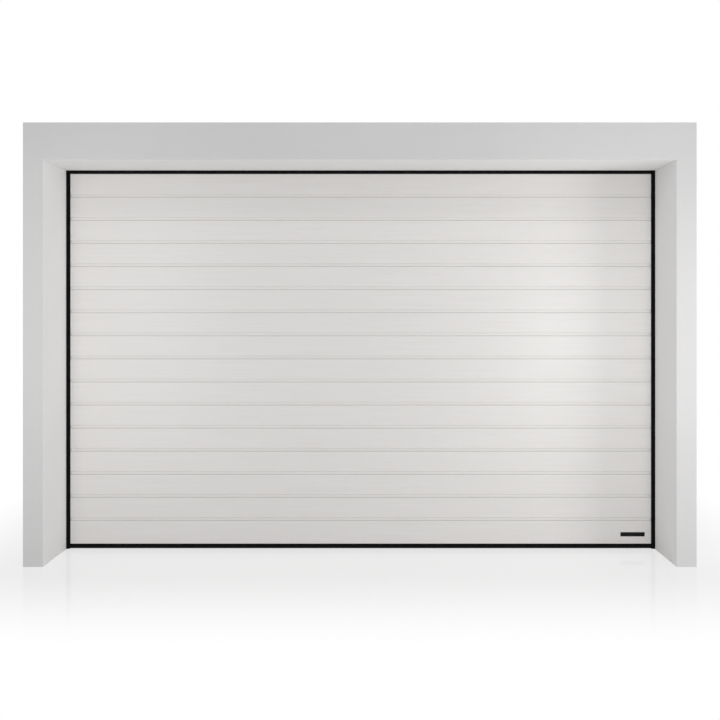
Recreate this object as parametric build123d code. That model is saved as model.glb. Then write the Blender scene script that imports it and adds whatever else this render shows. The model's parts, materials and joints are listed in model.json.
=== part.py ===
from build123d import *
from math import sqrt
import os

# Sectional garage door in its masonry portal, with tracks, rollers and spring counterbalance.
# Millimetres: X to the right seen from outside, Y into the garage, Z up.
# The origin is on the floor, in the middle of the doorway and of the leaf's thickness.

# Doorway and portal
DOORWAY_WIDTH = 3180
JAMB_WIDTH = 100
LINTEL_HEIGHT = 185
REVEAL_DEPTH = 300
WALL_TO_LEAF = 12

# Leaf: sections with the same ribs, from the bottom rail to the top edge
SECTION_COUNT = 4
RIBS_PER_SECTION = 4
RIB_PITCH = 125
LOWEST_STRIP = 132.5
TOP_STRIP = 150.5
PANEL_THICKNESS = 40
LEAF_SIDE_LAP = 10
LEAF_TOP_LAP = 15
GROOVE_MOUTH = 18.5
GROOVE_FLOOR = 13
GROOVE_DEPTH = 3
BACK_GROOVE_MOUTH = 26
BACK_GROOVE_FLOOR = 16
BACK_GROOVE_DEPTH = 2

# Finger-safe joint between two sections, its arcs round the hinge axis
JOINT_GAP = 1.6
TONGUE_OUTER_RADIUS = 39
TONGUE_INNER_RADIUS = 24
TONGUE_HEIGHT = 14
TONGUE_CLEARANCE = 1.5

# Steel end caps of the sections
CAP_SHEET = 1.2
CAP_BACK_FLANGE = 60
CAP_FRONT_FLANGE = 12
CAP_END_GAP = 2

# Bottom rail and its hollow seal
BOTTOM_SEAL_HEIGHT = 25.5
SEAL_WALL = 3
SEAL_FOOT_WIDTH = 24
SEAL_CHAMFER_HEIGHT = 8
RAIL_WALL = 1.5
RAIL_UPSTAND = 38
RAIL_SLOT_OFFSET = 9
RAIL_SLOT_WIDTH = 7
RAIL_SLOT_DEPTH = 6
RAIL_SLOT_MOUTH = 4
BEAD_HEIGHT = 3.5
BEAD_FIT = 0.5

# Lip seals on the posts and the header
LIP_REACH_SIDE = 18.5
LIP_REACH_TOP = 17.5
LIP_THICKNESS = 2.2
LIP_TOUCH = 0.3
CLIP_WIDTH = 8
CLIP_DEPTH = 7.3
CLIP_FIT = 0.2
CLIP_FROM_LEAF = 2.2

# Folded steel frame behind the wall
FRAME_SHEET = 2
FRAME_RETURN = 6
POST_FROM_LEAF = 6
POST_LEG_DEPTH = 112
POST_ABOVE_SHAFT = 28
HEADER_RISE = 10
HEADER_HEIGHT = 55

# Hinges on the back of the leaf
HINGE_AXIS_FROM_BACK = 8.2
HINGE_SHEET = 2.2
KNUCKLE_RADIUS = 7
KNUCKLE_GAP = 0.6
PIN_RADIUS = 4
PIN_FIT = 0.1
HINGE_WIDTH = 60
HINGE_LEAF_HEIGHT = 58
HINGE_COLUMN_X = 540
END_HINGE_INSET = 2

# Rollers and the brackets that carry them
ROLLER_RADIUS = 23
ROLLER_WIDTH = 14
ROLLER_FROM_BACK = 25
ROLLER_TO_TRACK = 1.5
ROLLER_ABOVE_HINGE = 45
AXLE_RADIUS = 5.5
AXLE_FIT = 0.15
AXLE_END_INSET = 52
AXLE_PAST_ROLLER = 2
CHEEK_SHEET = 2.5
CHEEK_MARGIN = 11
CHEEK_HALF_HEIGHT = 14
CHEEK_SPACING = 40
BOTTOM_ROLLER_HEIGHT = 90
BOTTOM_BRACKET_HEIGHT = 95
CABLE_PIN_DROP = 28
TOP_ROLLER_DROP = 30
TOP_BRACKET_HEIGHT = 84
TOP_BRACKET_EDGE = 5

# Tracks
TRACK_SHEET = 2
TRACK_MOUTH_GAP = 34
TRACK_INNER_DEPTH = 24
TRACK_LIP = 8
TRACK_FOOT = 20
CURVE_RADIUS = 300
CURVE_START_DROP = 95
TRACK_REAR_Y = 2300
TRACK_TO_POST = 24
BRACKET_SHEET = 2.5
TRACK_BRACKET_COUNT = 4
TRACK_BRACKET_HEIGHT = 60
TRACK_BRACKET_LOWEST = 300
TRACK_BRACKET_TO_FLAG = 30
FLAG_FOOT_DROP = 120
FLAG_HEAD_RISE = 200
FLAG_DEPTH = 180
STIFFENER_HALF_HEIGHT = 24
STIFFENER_WIDTH = 28
STIFFENER_LAP = 45
CROSSBAR_HEIGHT = 56
CROSSBAR_DEPTH = 40

# Rear hangers up to the ceiling
HANGER_Y = 2150
HANGER_WIDTH = 40
HANGER_RISE = 330
HANGER_HOLE_COUNT = 3
HANGER_HOLE_PITCH = 90
HANGER_HOLE_RADIUS = 4.5
FOOT_LENGTH = 100
FOOT_WIDTH = 50
FOOT_SHEET = 3
FOOT_HOLE_SPACING = 64
FOOT_HOLE_RADIUS = 4.5

# Torsion spring counterbalance
SHAFT_FROM_WALL = 107
SHAFT_RISE = 223
SHAFT_RADIUS = 12.7
SHAFT_BORE = 10
SHAFT_FIT = 0.2
SHAFT_END_GAP = 4
SPRING_WIRE = 6.3
SPRING_INNER_RADIUS = 25.2
SPRING_LENGTH = 560
SEAT_GAP = 0.3
CONE_PLUG = 42
CONE_FLANGE = 10
CONE_FLANGE_RADIUS = 31
CONE_HEAD = 55
CENTER_FOOT_WIDTH = 70
CENTER_FOOT_HEIGHT = 100
CENTER_FOOT_DROP = 8
CENTER_FOOT_SHEET = 3
CENTER_WEB = 4
BEARING_RADIUS = 28
END_PLATE_SHEET = 3
END_PLATE_DROP = 58
END_PLATE_RISE = 28
END_PLATE_FRONT = 38
END_PLATE_GAP = 4
END_BOSS = 5
DRUM_RADIUS = 46
DRUM_FLANGE_RADIUS = 53
DRUM_RIM_RADIUS = 49
DRUM_FLANGE = 4
DRUM_HUB_RADIUS = 22
DRUM_BARREL = 24
CABLE_FIT = 0.1
CABLE_RADIUS = 1.5
CABLE_FROM_LEAF = 20
CABLE_EYE_RADIUS = 9
CABLE_EYE_WIDTH = 5
CABLE_PIN_RADIUS = 4
CABLE_PIN_END = 8
CABLE_PIN_HEAD = 1.5
CABLE_PIN_HEAD_RADIUS = 5.5
FERRULE_RADIUS = 4
FERRULE_LENGTH = 26

# Round parts that repeat often are drawn with flat sides: few on pins, knuckles and small holes,
# more on rollers, springs, cones and drums
SMALL_ROUND_SIDES = 8
LARGE_ROUND_SIDES = 24

# Places that follow from the sizes above
HALF_DOORWAY = DOORWAY_WIDTH / 2
HALF_PORTAL = HALF_DOORWAY + JAMB_WIDTH
HALF_LEAF = HALF_DOORWAY + LEAF_SIDE_LAP
LEAF_FRONT = -PANEL_THICKNESS / 2
LEAF_BACK = PANEL_THICKNESS / 2
WALL_BACK = LEAF_FRONT - WALL_TO_LEAF
WALL_FRONT = WALL_BACK - REVEAL_DEPTH
SECTION_PITCH = RIB_PITCH * RIBS_PER_SECTION
LEAF_BOTTOM = BOTTOM_SEAL_HEIGHT + RAIL_WALL
FIRST_JOINT = LEAF_BOTTOM + LOWEST_STRIP + RIB_PITCH * (RIBS_PER_SECTION - 1)
JOINT_HEIGHTS = [FIRST_JOINT + SECTION_PITCH * i for i in range(SECTION_COUNT - 1)]
LEAF_TOP = JOINT_HEIGHTS[-1] + RIB_PITCH * (RIBS_PER_SECTION - 1) + TOP_STRIP
DOORWAY_HEIGHT = LEAF_TOP - LEAF_TOP_LAP
PORTAL_HEIGHT = DOORWAY_HEIGHT + LINTEL_HEIGHT
CAP_FACE = HALF_LEAF + CAP_SHEET
CAP_BACK = LEAF_BACK + CAP_SHEET
HINGE_Y = LEAF_BACK + HINGE_AXIS_FROM_BACK
TRACK_Y = LEAF_BACK + ROLLER_FROM_BACK
TRACK_MOUTH_X = HALF_LEAF + TRACK_MOUTH_GAP
TRACK_WEB_X = TRACK_MOUTH_X + TRACK_SHEET + TRACK_INNER_DEPTH
TRACK_OUTER_X = TRACK_WEB_X + TRACK_SHEET
TRACK_HALF_GAP = ROLLER_RADIUS + ROLLER_TO_TRACK
TRACK_HALF_WIDTH = TRACK_HALF_GAP + TRACK_SHEET
CURVE_START = DOORWAY_HEIGHT - CURVE_START_DROP
CURVE_CENTER_Y = TRACK_Y + CURVE_RADIUS
TRACK_Z = CURVE_START + CURVE_RADIUS
POST_INNER_X = HALF_LEAF + POST_FROM_LEAF
POST_LEG_X = TRACK_OUTER_X + TRACK_TO_POST
POST_OUTER_X = POST_LEG_X + FRAME_SHEET
POST_BACK = WALL_BACK + FRAME_SHEET
SHAFT_Y = WALL_BACK + SHAFT_FROM_WALL
SHAFT_Z = DOORWAY_HEIGHT + SHAFT_RISE
SHAFT_HOLE = SHAFT_RADIUS + SHAFT_FIT
SHAFT_HALF = POST_LEG_X - SHAFT_END_GAP
CABLE_X = HALF_LEAF + CABLE_FROM_LEAF
CABLE_Y = SHAFT_Y - DRUM_RADIUS
CABLE_PIN_Z = BOTTOM_ROLLER_HEIGHT - CABLE_PIN_DROP
ROLLER_X = TRACK_MOUTH_X + TRACK_SHEET + TRACK_INNER_DEPTH / 2
AXLE_HOLE = AXLE_RADIUS + AXLE_FIT
AXLE_START = HALF_LEAF - AXLE_END_INSET
AXLE_END = ROLLER_X + ROLLER_WIDTH / 2 + AXLE_PAST_ROLLER
BRACKET_OUTER_X = CAP_FACE - END_HINGE_INSET


# Drawing helpers

def rectangle(u_start, u_end, v_start, v_end):
    """Rectangle between two corners of its drawing plane."""
    center = Pos((u_start + u_end) / 2, (v_start + v_end) / 2)
    return center * Rectangle(u_end - u_start, v_end - v_start)


def outline(*points):
    """Closed face through its corner points."""
    return make_face(Polyline(*points, close=True))


def along_x(profile, start, end):
    """Solid of a profile drawn as (Y, Z), from x = start to x = end."""
    return extrude(Plane.YZ.offset(start) * profile, end - start)


def along_y(profile, start, end):
    """Solid of a profile drawn as (X, Z), from y = start to y = end."""
    return extrude(Plane.XZ.offset(-start) * profile, start - end)


def along_z(profile, start, end):
    """Solid of a profile drawn as (X, Y), from z = start to z = end."""
    return extrude(Plane.XY.offset(start) * profile, end - start)


def block(x_range, y_range, z_range):
    """Box between two values on each axis."""
    return along_z(rectangle(*x_range, *y_range), *z_range)


def small_round(radius):
    return RegularPolygon(radius, SMALL_ROUND_SIDES)


def large_round(radius):
    return RegularPolygon(radius, LARGE_ROUND_SIDES)


def large_bore(radius):
    """Hole whose flat sides all stay outside the radius."""
    return RegularPolygon(radius, LARGE_ROUND_SIDES, major_radius=False)


def rod(radius, start, end, y, z):
    """Small round bar along X."""
    return along_x(Pos(y, z) * small_round(radius), start, end)


def round_shaft(*steps):
    """Body round the shaft, with the shaft's hole, from (start, end, radius) steps along X."""
    on_shaft = Pos(SHAFT_Y, SHAFT_Z)
    body = Part() + [along_x(on_shaft * large_round(radius), start, end) for start, end, radius in steps]
    return body - along_x(on_shaft * large_bore(SHAFT_HOLE), steps[0][0], steps[-1][1])


def mirrored(shapes):
    """The same pieces on the left side."""
    return [mirror(shape, about=Plane.YZ) for shape in shapes]


def save(name, shapes):
    """Write one node, as one solid or as several that do not touch."""
    solids = [solid for shape in shapes for solid in shape.solids()]
    node = solids[0] if len(solids) == 1 else Compound(solids)
    export_step(node, f"parts/{name}.step")


def save_sides(name, shapes):
    """Write the right piece and its mirror image as two nodes."""
    save(f"{name}_right", shapes)
    save(f"{name}_left", mirrored(shapes))


def save_both(name, shapes):
    """Write the right pieces and their mirror images as one node."""
    save(name, shapes + mirrored(shapes))


# Masonry portal

def portal_jamb():
    return block((HALF_DOORWAY, HALF_PORTAL), (WALL_FRONT, WALL_BACK), (0, DOORWAY_HEIGHT))


def portal_lintel():
    return block((-HALF_PORTAL, HALF_PORTAL), (WALL_FRONT, WALL_BACK), (DOORWAY_HEIGHT, PORTAL_HEIGHT))


# Leaf

def groove(face, depth, height, mouth, floor):
    """Trapezoid cut into the face at y = face, deep towards positive Y."""
    return outline(
        (face, height - mouth / 2),
        (face + depth, height - floor / 2),
        (face + depth, height + floor / 2),
        (face, height + mouth / 2),
    )


def tongue(joint, clearance):
    """Finger between two arcs round the hinge axis, grown by a clearance for its groove."""
    ring = Circle(TONGUE_OUTER_RADIUS + clearance) - Circle(TONGUE_INNER_RADIUS - clearance)
    reach = rectangle(LEAF_FRONT, HINGE_Y, joint - JOINT_GAP, joint + TONGUE_HEIGHT + clearance)
    return (Pos(HINGE_Y, joint) * ring) & reach


def section(index):
    """One insulated section: grooved outside, ribbed inside, tongue above and groove below."""
    lowest = index == 0
    highest = index == SECTION_COUNT - 1
    bottom = LEAF_BOTTOM if lowest else JOINT_HEIGHTS[index - 1] + JOINT_GAP / 2
    top = LEAF_TOP if highest else JOINT_HEIGHTS[index] - JOINT_GAP / 2
    profile = rectangle(LEAF_FRONT, LEAF_BACK, bottom, top)
    if not lowest:
        profile -= tongue(JOINT_HEIGHTS[index - 1], TONGUE_CLEARANCE)
    if not highest:
        profile += tongue(JOINT_HEIGHTS[index], 0)
    for rib in range(-1, RIBS_PER_SECTION):
        height = FIRST_JOINT + SECTION_PITCH * (index - 1) + RIB_PITCH * (rib + 1)
        on_joint = rib == -1 or rib == RIBS_PER_SECTION - 1
        if (lowest and rib == -1) or (highest and rib == RIBS_PER_SECTION - 1):
            continue
        profile -= groove(LEAF_FRONT, GROOVE_DEPTH, height, GROOVE_MOUTH, GROOVE_FLOOR)
        if not on_joint:
            profile -= groove(LEAF_BACK, -BACK_GROOVE_DEPTH, height, BACK_GROOVE_MOUTH, BACK_GROOVE_FLOOR)
    return along_x(profile, -HALF_LEAF, HALF_LEAF)


def end_caps():
    """Folded cap on the end of each section, with a wide flange at the back for the hinges."""
    channel = (
        rectangle(HALF_LEAF, CAP_FACE, LEAF_FRONT - CAP_SHEET, CAP_BACK)
        + rectangle(HALF_LEAF - CAP_BACK_FLANGE, HALF_LEAF, LEAF_BACK, CAP_BACK)
        + rectangle(HALF_LEAF - CAP_FRONT_FLANGE, HALF_LEAF, LEAF_FRONT - CAP_SHEET, LEAF_FRONT)
    )
    starts = [LEAF_BOTTOM + RAIL_UPSTAND] + JOINT_HEIGHTS
    ends = JOINT_HEIGHTS + [LEAF_TOP]
    return [along_z(channel, low + CAP_END_GAP, high - CAP_END_GAP) for low, high in zip(starts, ends)]


def bottom_rail():
    """Extruded rail under the leaf, with an upstand behind and two slots for the seal."""
    web_low = BOTTOM_SEAL_HEIGHT
    profile = rectangle(LEAF_FRONT + SEAL_WALL, LEAF_BACK + RAIL_WALL, web_low, LEAF_BOTTOM)
    profile += rectangle(LEAF_BACK, LEAF_BACK + RAIL_WALL, LEAF_BOTTOM, LEAF_BOTTOM + RAIL_UPSTAND)
    slot_outer = RAIL_SLOT_WIDTH / 2 + RAIL_WALL
    slot_low = web_low - RAIL_SLOT_DEPTH
    for center in (-RAIL_SLOT_OFFSET, RAIL_SLOT_OFFSET):
        slot = rectangle(center - slot_outer, center + slot_outer, slot_low, web_low)
        slot -= rectangle(
            center - RAIL_SLOT_WIDTH / 2, center + RAIL_SLOT_WIDTH / 2, slot_low + RAIL_WALL, web_low
        )
        slot -= rectangle(
            center - RAIL_SLOT_MOUTH / 2, center + RAIL_SLOT_MOUTH / 2, slot_low, slot_low + RAIL_WALL
        )
        profile += slot
    return along_x(profile, -HALF_LEAF, HALF_LEAF)


def bottom_seal():
    """Hollow rubber seal: front wall up to the leaf, flat foot, two beads in the rail's slots."""
    slot_low = BOTTOM_SEAL_HEIGHT - RAIL_SLOT_DEPTH
    deck_top = slot_low - BEAD_FIT
    back = LEAF_BACK - RAIL_WALL
    half_foot = SEAL_FOOT_WIDTH / 2
    profile = outline(
        (-half_foot, 0), (half_foot, 0), (back, SEAL_CHAMFER_HEIGHT), (back, deck_top),
        (LEAF_FRONT, deck_top), (LEAF_FRONT, SEAL_CHAMFER_HEIGHT),
    )
    profile -= outline(
        (-half_foot, SEAL_WALL), (half_foot, SEAL_WALL),
        (back - SEAL_WALL, SEAL_CHAMFER_HEIGHT), (back - SEAL_WALL, deck_top - SEAL_WALL),
        (LEAF_FRONT + SEAL_WALL, deck_top - SEAL_WALL), (LEAF_FRONT + SEAL_WALL, SEAL_CHAMFER_HEIGHT),
    )
    front_top = LEAF_BOTTOM - BEAD_FIT
    profile += rectangle(LEAF_FRONT, LEAF_FRONT + SEAL_WALL - BEAD_FIT, deck_top, front_top)
    stem_half = RAIL_SLOT_MOUTH / 2 - BEAD_FIT
    bead_half = RAIL_SLOT_WIDTH / 2 - BEAD_FIT
    bead_low = slot_low + RAIL_WALL + SEAT_GAP
    for center in (-RAIL_SLOT_OFFSET, RAIL_SLOT_OFFSET):
        profile += rectangle(center - stem_half, center + stem_half, deck_top, bead_low)
        profile += rectangle(center - bead_half, center + bead_half, bead_low, bead_low + BEAD_HEIGHT)
    return along_x(profile, -HALF_LEAF, HALF_LEAF)


# Folded frame and its lip seals

def frame_post():
    """Post on the wall's back: flange, seal return at its inner edge and leg for the tracks."""
    profile = rectangle(POST_INNER_X, POST_OUTER_X, WALL_BACK, POST_BACK)
    profile += rectangle(POST_INNER_X, POST_INNER_X + FRAME_SHEET, POST_BACK, POST_BACK + FRAME_RETURN)
    profile += rectangle(POST_LEG_X, POST_OUTER_X, POST_BACK, WALL_BACK + POST_LEG_DEPTH)
    return along_z(profile, 0, SHAFT_Z + POST_ABOVE_SHAFT)


def frame_header():
    low = DOORWAY_HEIGHT + HEADER_RISE
    profile = rectangle(WALL_BACK, POST_BACK, low, low + HEADER_HEIGHT)
    profile += rectangle(POST_BACK, POST_BACK + FRAME_RETURN, low, low + FRAME_SHEET)
    return along_x(profile, -POST_INNER_X, POST_INNER_X)


def lip_seal_profile(return_edge, lip_end):
    """Seal drawn as (distance, Y): a clip over the frame's return and a lip on the leaf."""
    clip_start = return_edge + FRAME_SHEET / 2 - CLIP_WIDTH / 2
    clip_back = LEAF_FRONT - CLIP_FROM_LEAF
    profile = rectangle(clip_start, clip_start + CLIP_WIDTH, clip_back - CLIP_DEPTH, clip_back)
    profile -= rectangle(
        return_edge - CLIP_FIT, return_edge + FRAME_SHEET + CLIP_FIT,
        clip_back - CLIP_DEPTH, POST_BACK + FRAME_RETURN + CLIP_FIT,
    )
    root = clip_back - CLIP_DEPTH / 2
    tip = LEAF_FRONT - LIP_TOUCH
    profile += outline(
        (clip_start, root - LIP_THICKNESS), (clip_start, root),
        (lip_end, tip), (lip_end, tip - LIP_THICKNESS),
    )
    return profile


def side_seal():
    profile = lip_seal_profile(POST_INNER_X, HALF_DOORWAY - LIP_REACH_SIDE)
    return along_z(profile, 0, DOORWAY_HEIGHT + HEADER_RISE - SEAT_GAP)


def top_seal():
    """Header seal between the lips of the two side seals."""
    profile = lip_seal_profile(DOORWAY_HEIGHT + HEADER_RISE, DOORWAY_HEIGHT - LIP_REACH_TOP)
    half = HALF_DOORWAY - LIP_REACH_SIDE - SEAT_GAP
    across = Plane(origin=(-half, 0, 0), x_dir=(0, 0, 1), z_dir=(-1, 0, 0))
    return extrude(across * profile, -2 * half)


# Hinges

def hinge_spans(center, width):
    """X ranges of the two outer knuckles and of the middle one."""
    third = width / 3
    outer = [(center - width / 2, center - third / 2 - KNUCKLE_GAP / 2)]
    outer.append((center + third / 2 + KNUCKLE_GAP / 2, center + width / 2))
    middle = [(center - third / 2 + KNUCKLE_GAP / 2, center + third / 2 - KNUCKLE_GAP / 2)]
    return outer, middle


def hinge_leaf(joint, center, seat, spans, direction):
    """Plate on the leaf's back at y = seat, with knuckles round the hinge axis."""
    half = HINGE_WIDTH / 2
    near = joint + direction * (KNUCKLE_RADIUS + KNUCKLE_GAP)
    far = joint + direction * HINGE_LEAF_HEIGHT
    plate_y = (seat, seat + HINGE_SHEET)
    leaf = block((center - half, center + half), plate_y, sorted((near, far)))
    for span in spans:
        leaf += block(span, plate_y, sorted((joint, near)))
        leaf += rod(KNUCKLE_RADIUS, *span, HINGE_Y, joint)
    return leaf


def hinge(joint, center, seat):
    """Lower leaf with its riveted pin, and upper leaf whose knuckle turns on that pin."""
    outer, middle = hinge_spans(center, HINGE_WIDTH)
    lower = hinge_leaf(joint, center, seat, outer, -1)
    upper = hinge_leaf(joint, center, seat, middle, 1)
    pin_x = (center - HINGE_WIDTH / 2, center + HINGE_WIDTH / 2)
    lower += rod(PIN_RADIUS, *pin_x, HINGE_Y, joint)
    upper -= rod(PIN_RADIUS + PIN_FIT, *pin_x, HINGE_Y, joint)
    return lower, upper


def center_hinges():
    """Lower and upper leaves of the hinge columns inside the leaf's width."""
    columns = (-HINGE_COLUMN_X, HINGE_COLUMN_X)
    hinges = [hinge(joint, x, LEAF_BACK) for joint in JOINT_HEIGHTS for x in columns]
    return [lower for lower, _ in hinges], [upper for _, upper in hinges]


# Rollers and their brackets

def roller_line_y(height):
    """Y of the track's middle line at this height, straight up and then round the curve."""
    rise = max(height - CURVE_START, 0)
    return CURVE_CENTER_Y - sqrt(CURVE_RADIUS ** 2 - rise ** 2)


def roller_heights():
    on_hinges = [joint + ROLLER_ABOVE_HINGE for joint in JOINT_HEIGHTS]
    return [BOTTOM_ROLLER_HEIGHT] + on_hinges + [LEAF_TOP - TOP_ROLLER_DROP]


def cheeks(seat, height, low):
    """Two upright plates with a hole for a roller's axle, from y = seat back past the axle."""
    axle_y = roller_line_y(height)
    profile = rectangle(seat, axle_y + CHEEK_MARGIN, low, height + CHEEK_HALF_HEIGHT)
    profile -= Pos(axle_y, height) * small_round(AXLE_HOLE)
    outer = along_x(profile, BRACKET_OUTER_X - CHEEK_SHEET, BRACKET_OUTER_X)
    inner_end = BRACKET_OUTER_X - CHEEK_SPACING
    return outer + along_x(profile, inner_end - CHEEK_SHEET, inner_end)


def end_hinges():
    """Hinges on the end caps, whose upper leaves also carry the rollers."""
    pieces = []
    for joint in JOINT_HEIGHTS:
        lower, upper = hinge(joint, BRACKET_OUTER_X - HINGE_WIDTH / 2, CAP_BACK)
        height = joint + ROLLER_ABOVE_HINGE
        pieces += [lower, upper + cheeks(CAP_BACK, height, height - CHEEK_HALF_HEIGHT)]
    return pieces


def bottom_bracket():
    """Corner bracket with the lowest roller and the pin that holds the lifting cable."""
    low = LEAF_BOTTOM + RAIL_UPSTAND + CAP_END_GAP
    plate_x = (BRACKET_OUTER_X - HINGE_WIDTH, BRACKET_OUTER_X)
    plate_y = (CAP_BACK, CAP_BACK + HINGE_SHEET)
    bracket = block(plate_x, plate_y, (low, low + BOTTOM_BRACKET_HEIGHT))
    cheek_low = CABLE_PIN_Z - CABLE_EYE_RADIUS
    bracket += cheeks(CAP_BACK + HINGE_SHEET / 2, BOTTOM_ROLLER_HEIGHT, cheek_low)
    pin_end = CABLE_X + CABLE_PIN_END
    bracket += rod(CABLE_PIN_RADIUS, BRACKET_OUTER_X, pin_end, CABLE_Y, CABLE_PIN_Z)
    return bracket + rod(CABLE_PIN_HEAD_RADIUS, pin_end, pin_end + CABLE_PIN_HEAD, CABLE_Y, CABLE_PIN_Z)


def top_bracket():
    """Bracket near the leaf's top edge, whose roller stands in the track's curve."""
    high = LEAF_TOP - TOP_BRACKET_EDGE
    height = LEAF_TOP - TOP_ROLLER_DROP
    plate_x = (BRACKET_OUTER_X - HINGE_WIDTH, BRACKET_OUTER_X)
    plate = block(plate_x, (CAP_BACK, CAP_BACK + HINGE_SHEET), (high - TOP_BRACKET_HEIGHT, high))
    return plate + cheeks(CAP_BACK, height, height - CHEEK_HALF_HEIGHT)


def roller(height):
    """Nylon wheel on its axle."""
    wheel = large_round(ROLLER_RADIUS) - small_round(AXLE_HOLE)
    half = ROLLER_WIDTH / 2
    return along_x(Pos(roller_line_y(height), height) * wheel, ROLLER_X - half, ROLLER_X + half)


def axle(height):
    return rod(AXLE_RADIUS, AXLE_START, AXLE_END, roller_line_y(height), height)


# Tracks, their brackets and their stiffeners

def track_profile(center):
    """Channel open towards the leaf, with a lip on each side of its mouth."""
    inner_x = TRACK_MOUTH_X + TRACK_SHEET
    profile = rectangle(TRACK_MOUTH_X, TRACK_OUTER_X, center - TRACK_HALF_WIDTH, center + TRACK_HALF_WIDTH)
    profile -= rectangle(inner_x, TRACK_WEB_X, center - TRACK_HALF_GAP, center + TRACK_HALF_GAP)
    mouth = TRACK_HALF_GAP - TRACK_LIP
    return profile - rectangle(TRACK_MOUTH_X, inner_x, center - mouth, center + mouth)


def vertical_track():
    return along_z(track_profile(TRACK_Y), TRACK_FOOT, CURVE_START)


def track_curve():
    """Quarter turn between the vertical track and the horizontal one."""
    curve_axis = Axis((0, CURVE_CENTER_Y, CURVE_START), (-1, 0, 0))
    return revolve(Plane.XY.offset(CURVE_START) * track_profile(TRACK_Y), curve_axis, 90)


def horizontal_track():
    return along_y(track_profile(TRACK_Z), CURVE_CENTER_Y, TRACK_REAR_Y)


def track_brackets():
    """Folded brackets that hold the vertical track off the post's leg."""
    middle = TRACK_Y
    half = BRACKET_SHEET / 2
    arm = TRACK_HALF_GAP
    profile = rectangle(TRACK_OUTER_X, TRACK_OUTER_X + BRACKET_SHEET, middle - arm, middle + half)
    profile += rectangle(TRACK_OUTER_X, POST_LEG_X, middle - half, middle + half)
    profile += rectangle(POST_LEG_X - BRACKET_SHEET, POST_LEG_X, middle - half, middle + arm)
    highest = CURVE_START - FLAG_FOOT_DROP - TRACK_BRACKET_TO_FLAG - TRACK_BRACKET_HEIGHT
    spacing = (highest - TRACK_BRACKET_LOWEST) / (TRACK_BRACKET_COUNT - 1)
    lows = [TRACK_BRACKET_LOWEST + spacing * i for i in range(TRACK_BRACKET_COUNT)]
    return [along_z(profile, low, low + TRACK_BRACKET_HEIGHT) for low in lows]


def flag_bracket():
    """Plate that joins both tracks at the curve, folded back to the post's leg."""
    front = TRACK_Y - TRACK_HALF_GAP
    low = CURVE_START - FLAG_FOOT_DROP
    high = CURVE_START + FLAG_HEAD_RISE
    waist = TRACK_Y + TRACK_HALF_GAP
    plate = outline(
        (front, low), (waist, low), (waist, CURVE_START),
        (front + FLAG_DEPTH, high), (front, high),
    )
    fold_back = front + BRACKET_SHEET
    fold = rectangle(TRACK_OUTER_X, POST_LEG_X, front, fold_back)
    fold += rectangle(POST_LEG_X - BRACKET_SHEET, POST_LEG_X, fold_back, waist)
    return along_x(plate, TRACK_OUTER_X, TRACK_OUTER_X + BRACKET_SHEET) + along_z(fold, low, high)


def track_stiffener():
    """Angle along the outside of the horizontal track, which also holds the curve's end."""
    low = TRACK_Z - STIFFENER_HALF_HEIGHT
    inner = TRACK_OUTER_X
    profile = rectangle(inner, inner + BRACKET_SHEET, low, TRACK_Z + STIFFENER_HALF_HEIGHT)
    profile += rectangle(inner, inner + STIFFENER_WIDTH, low, low + BRACKET_SHEET)
    return along_y(profile, CURVE_CENTER_Y - STIFFENER_LAP, TRACK_REAR_Y)


def rear_crossbar():
    low = TRACK_Z - CROSSBAR_HEIGHT / 2
    profile = rectangle(TRACK_REAR_Y, TRACK_REAR_Y + BRACKET_SHEET, low, low + CROSSBAR_HEIGHT)
    profile += rectangle(TRACK_REAR_Y, TRACK_REAR_Y + CROSSBAR_DEPTH, low, low + BRACKET_SHEET)
    half = TRACK_OUTER_X + STIFFENER_WIDTH
    return along_x(profile, -half, half)


def rear_hanger():
    """Perforated angle from the stiffener up to a foot with two holes for the ceiling."""
    low = TRACK_Z - STIFFENER_HALF_HEIGHT + BRACKET_SHEET
    high = TRACK_Z + HANGER_RISE
    inner = TRACK_OUTER_X + BRACKET_SHEET
    front = HANGER_Y - HANGER_WIDTH / 2
    profile = rectangle(inner, inner + BRACKET_SHEET, front, front + HANGER_WIDTH)
    profile += rectangle(inner, inner + HANGER_WIDTH, front, front + BRACKET_SHEET)
    hanger = along_z(profile, low, high - FOOT_SHEET)
    middle = inner + HANGER_WIDTH / 2
    foot = Pos(middle, HANGER_Y) * Rectangle(FOOT_LENGTH, FOOT_WIDTH)
    for side in (-1, 1):
        foot -= Pos(middle + side * FOOT_HOLE_SPACING / 2, HANGER_Y) * Circle(FOOT_HOLE_RADIUS)
    hanger += along_z(foot, high - FOOT_SHEET, high)
    for index in range(HANGER_HOLE_COUNT):
        height = high - HANGER_HOLE_PITCH * (index + 1)
        hanger -= rod(HANGER_HOLE_RADIUS, inner, inner + BRACKET_SHEET, HANGER_Y, height)
    return hanger


# Torsion spring counterbalance

def torsion_shaft():
    tube = Circle(SHAFT_RADIUS) - Circle(SHAFT_BORE)
    return along_x(Pos(SHAFT_Y, SHAFT_Z) * tube, -SHAFT_HALF, SHAFT_HALF)


def spring_start():
    """X of the spring's end next to the middle bracket."""
    return CENTER_WEB / 2 + SEAT_GAP + CONE_FLANGE + SEAT_GAP


def torsion_spring():
    """Outer shape of the close-wound coil."""
    outer = SPRING_INNER_RADIUS + SPRING_WIRE
    coil = Pos(SHAFT_Y, SHAFT_Z) * (large_round(outer) - large_bore(SPRING_INNER_RADIUS))
    return along_x(coil, spring_start(), spring_start() + SPRING_LENGTH)


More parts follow.
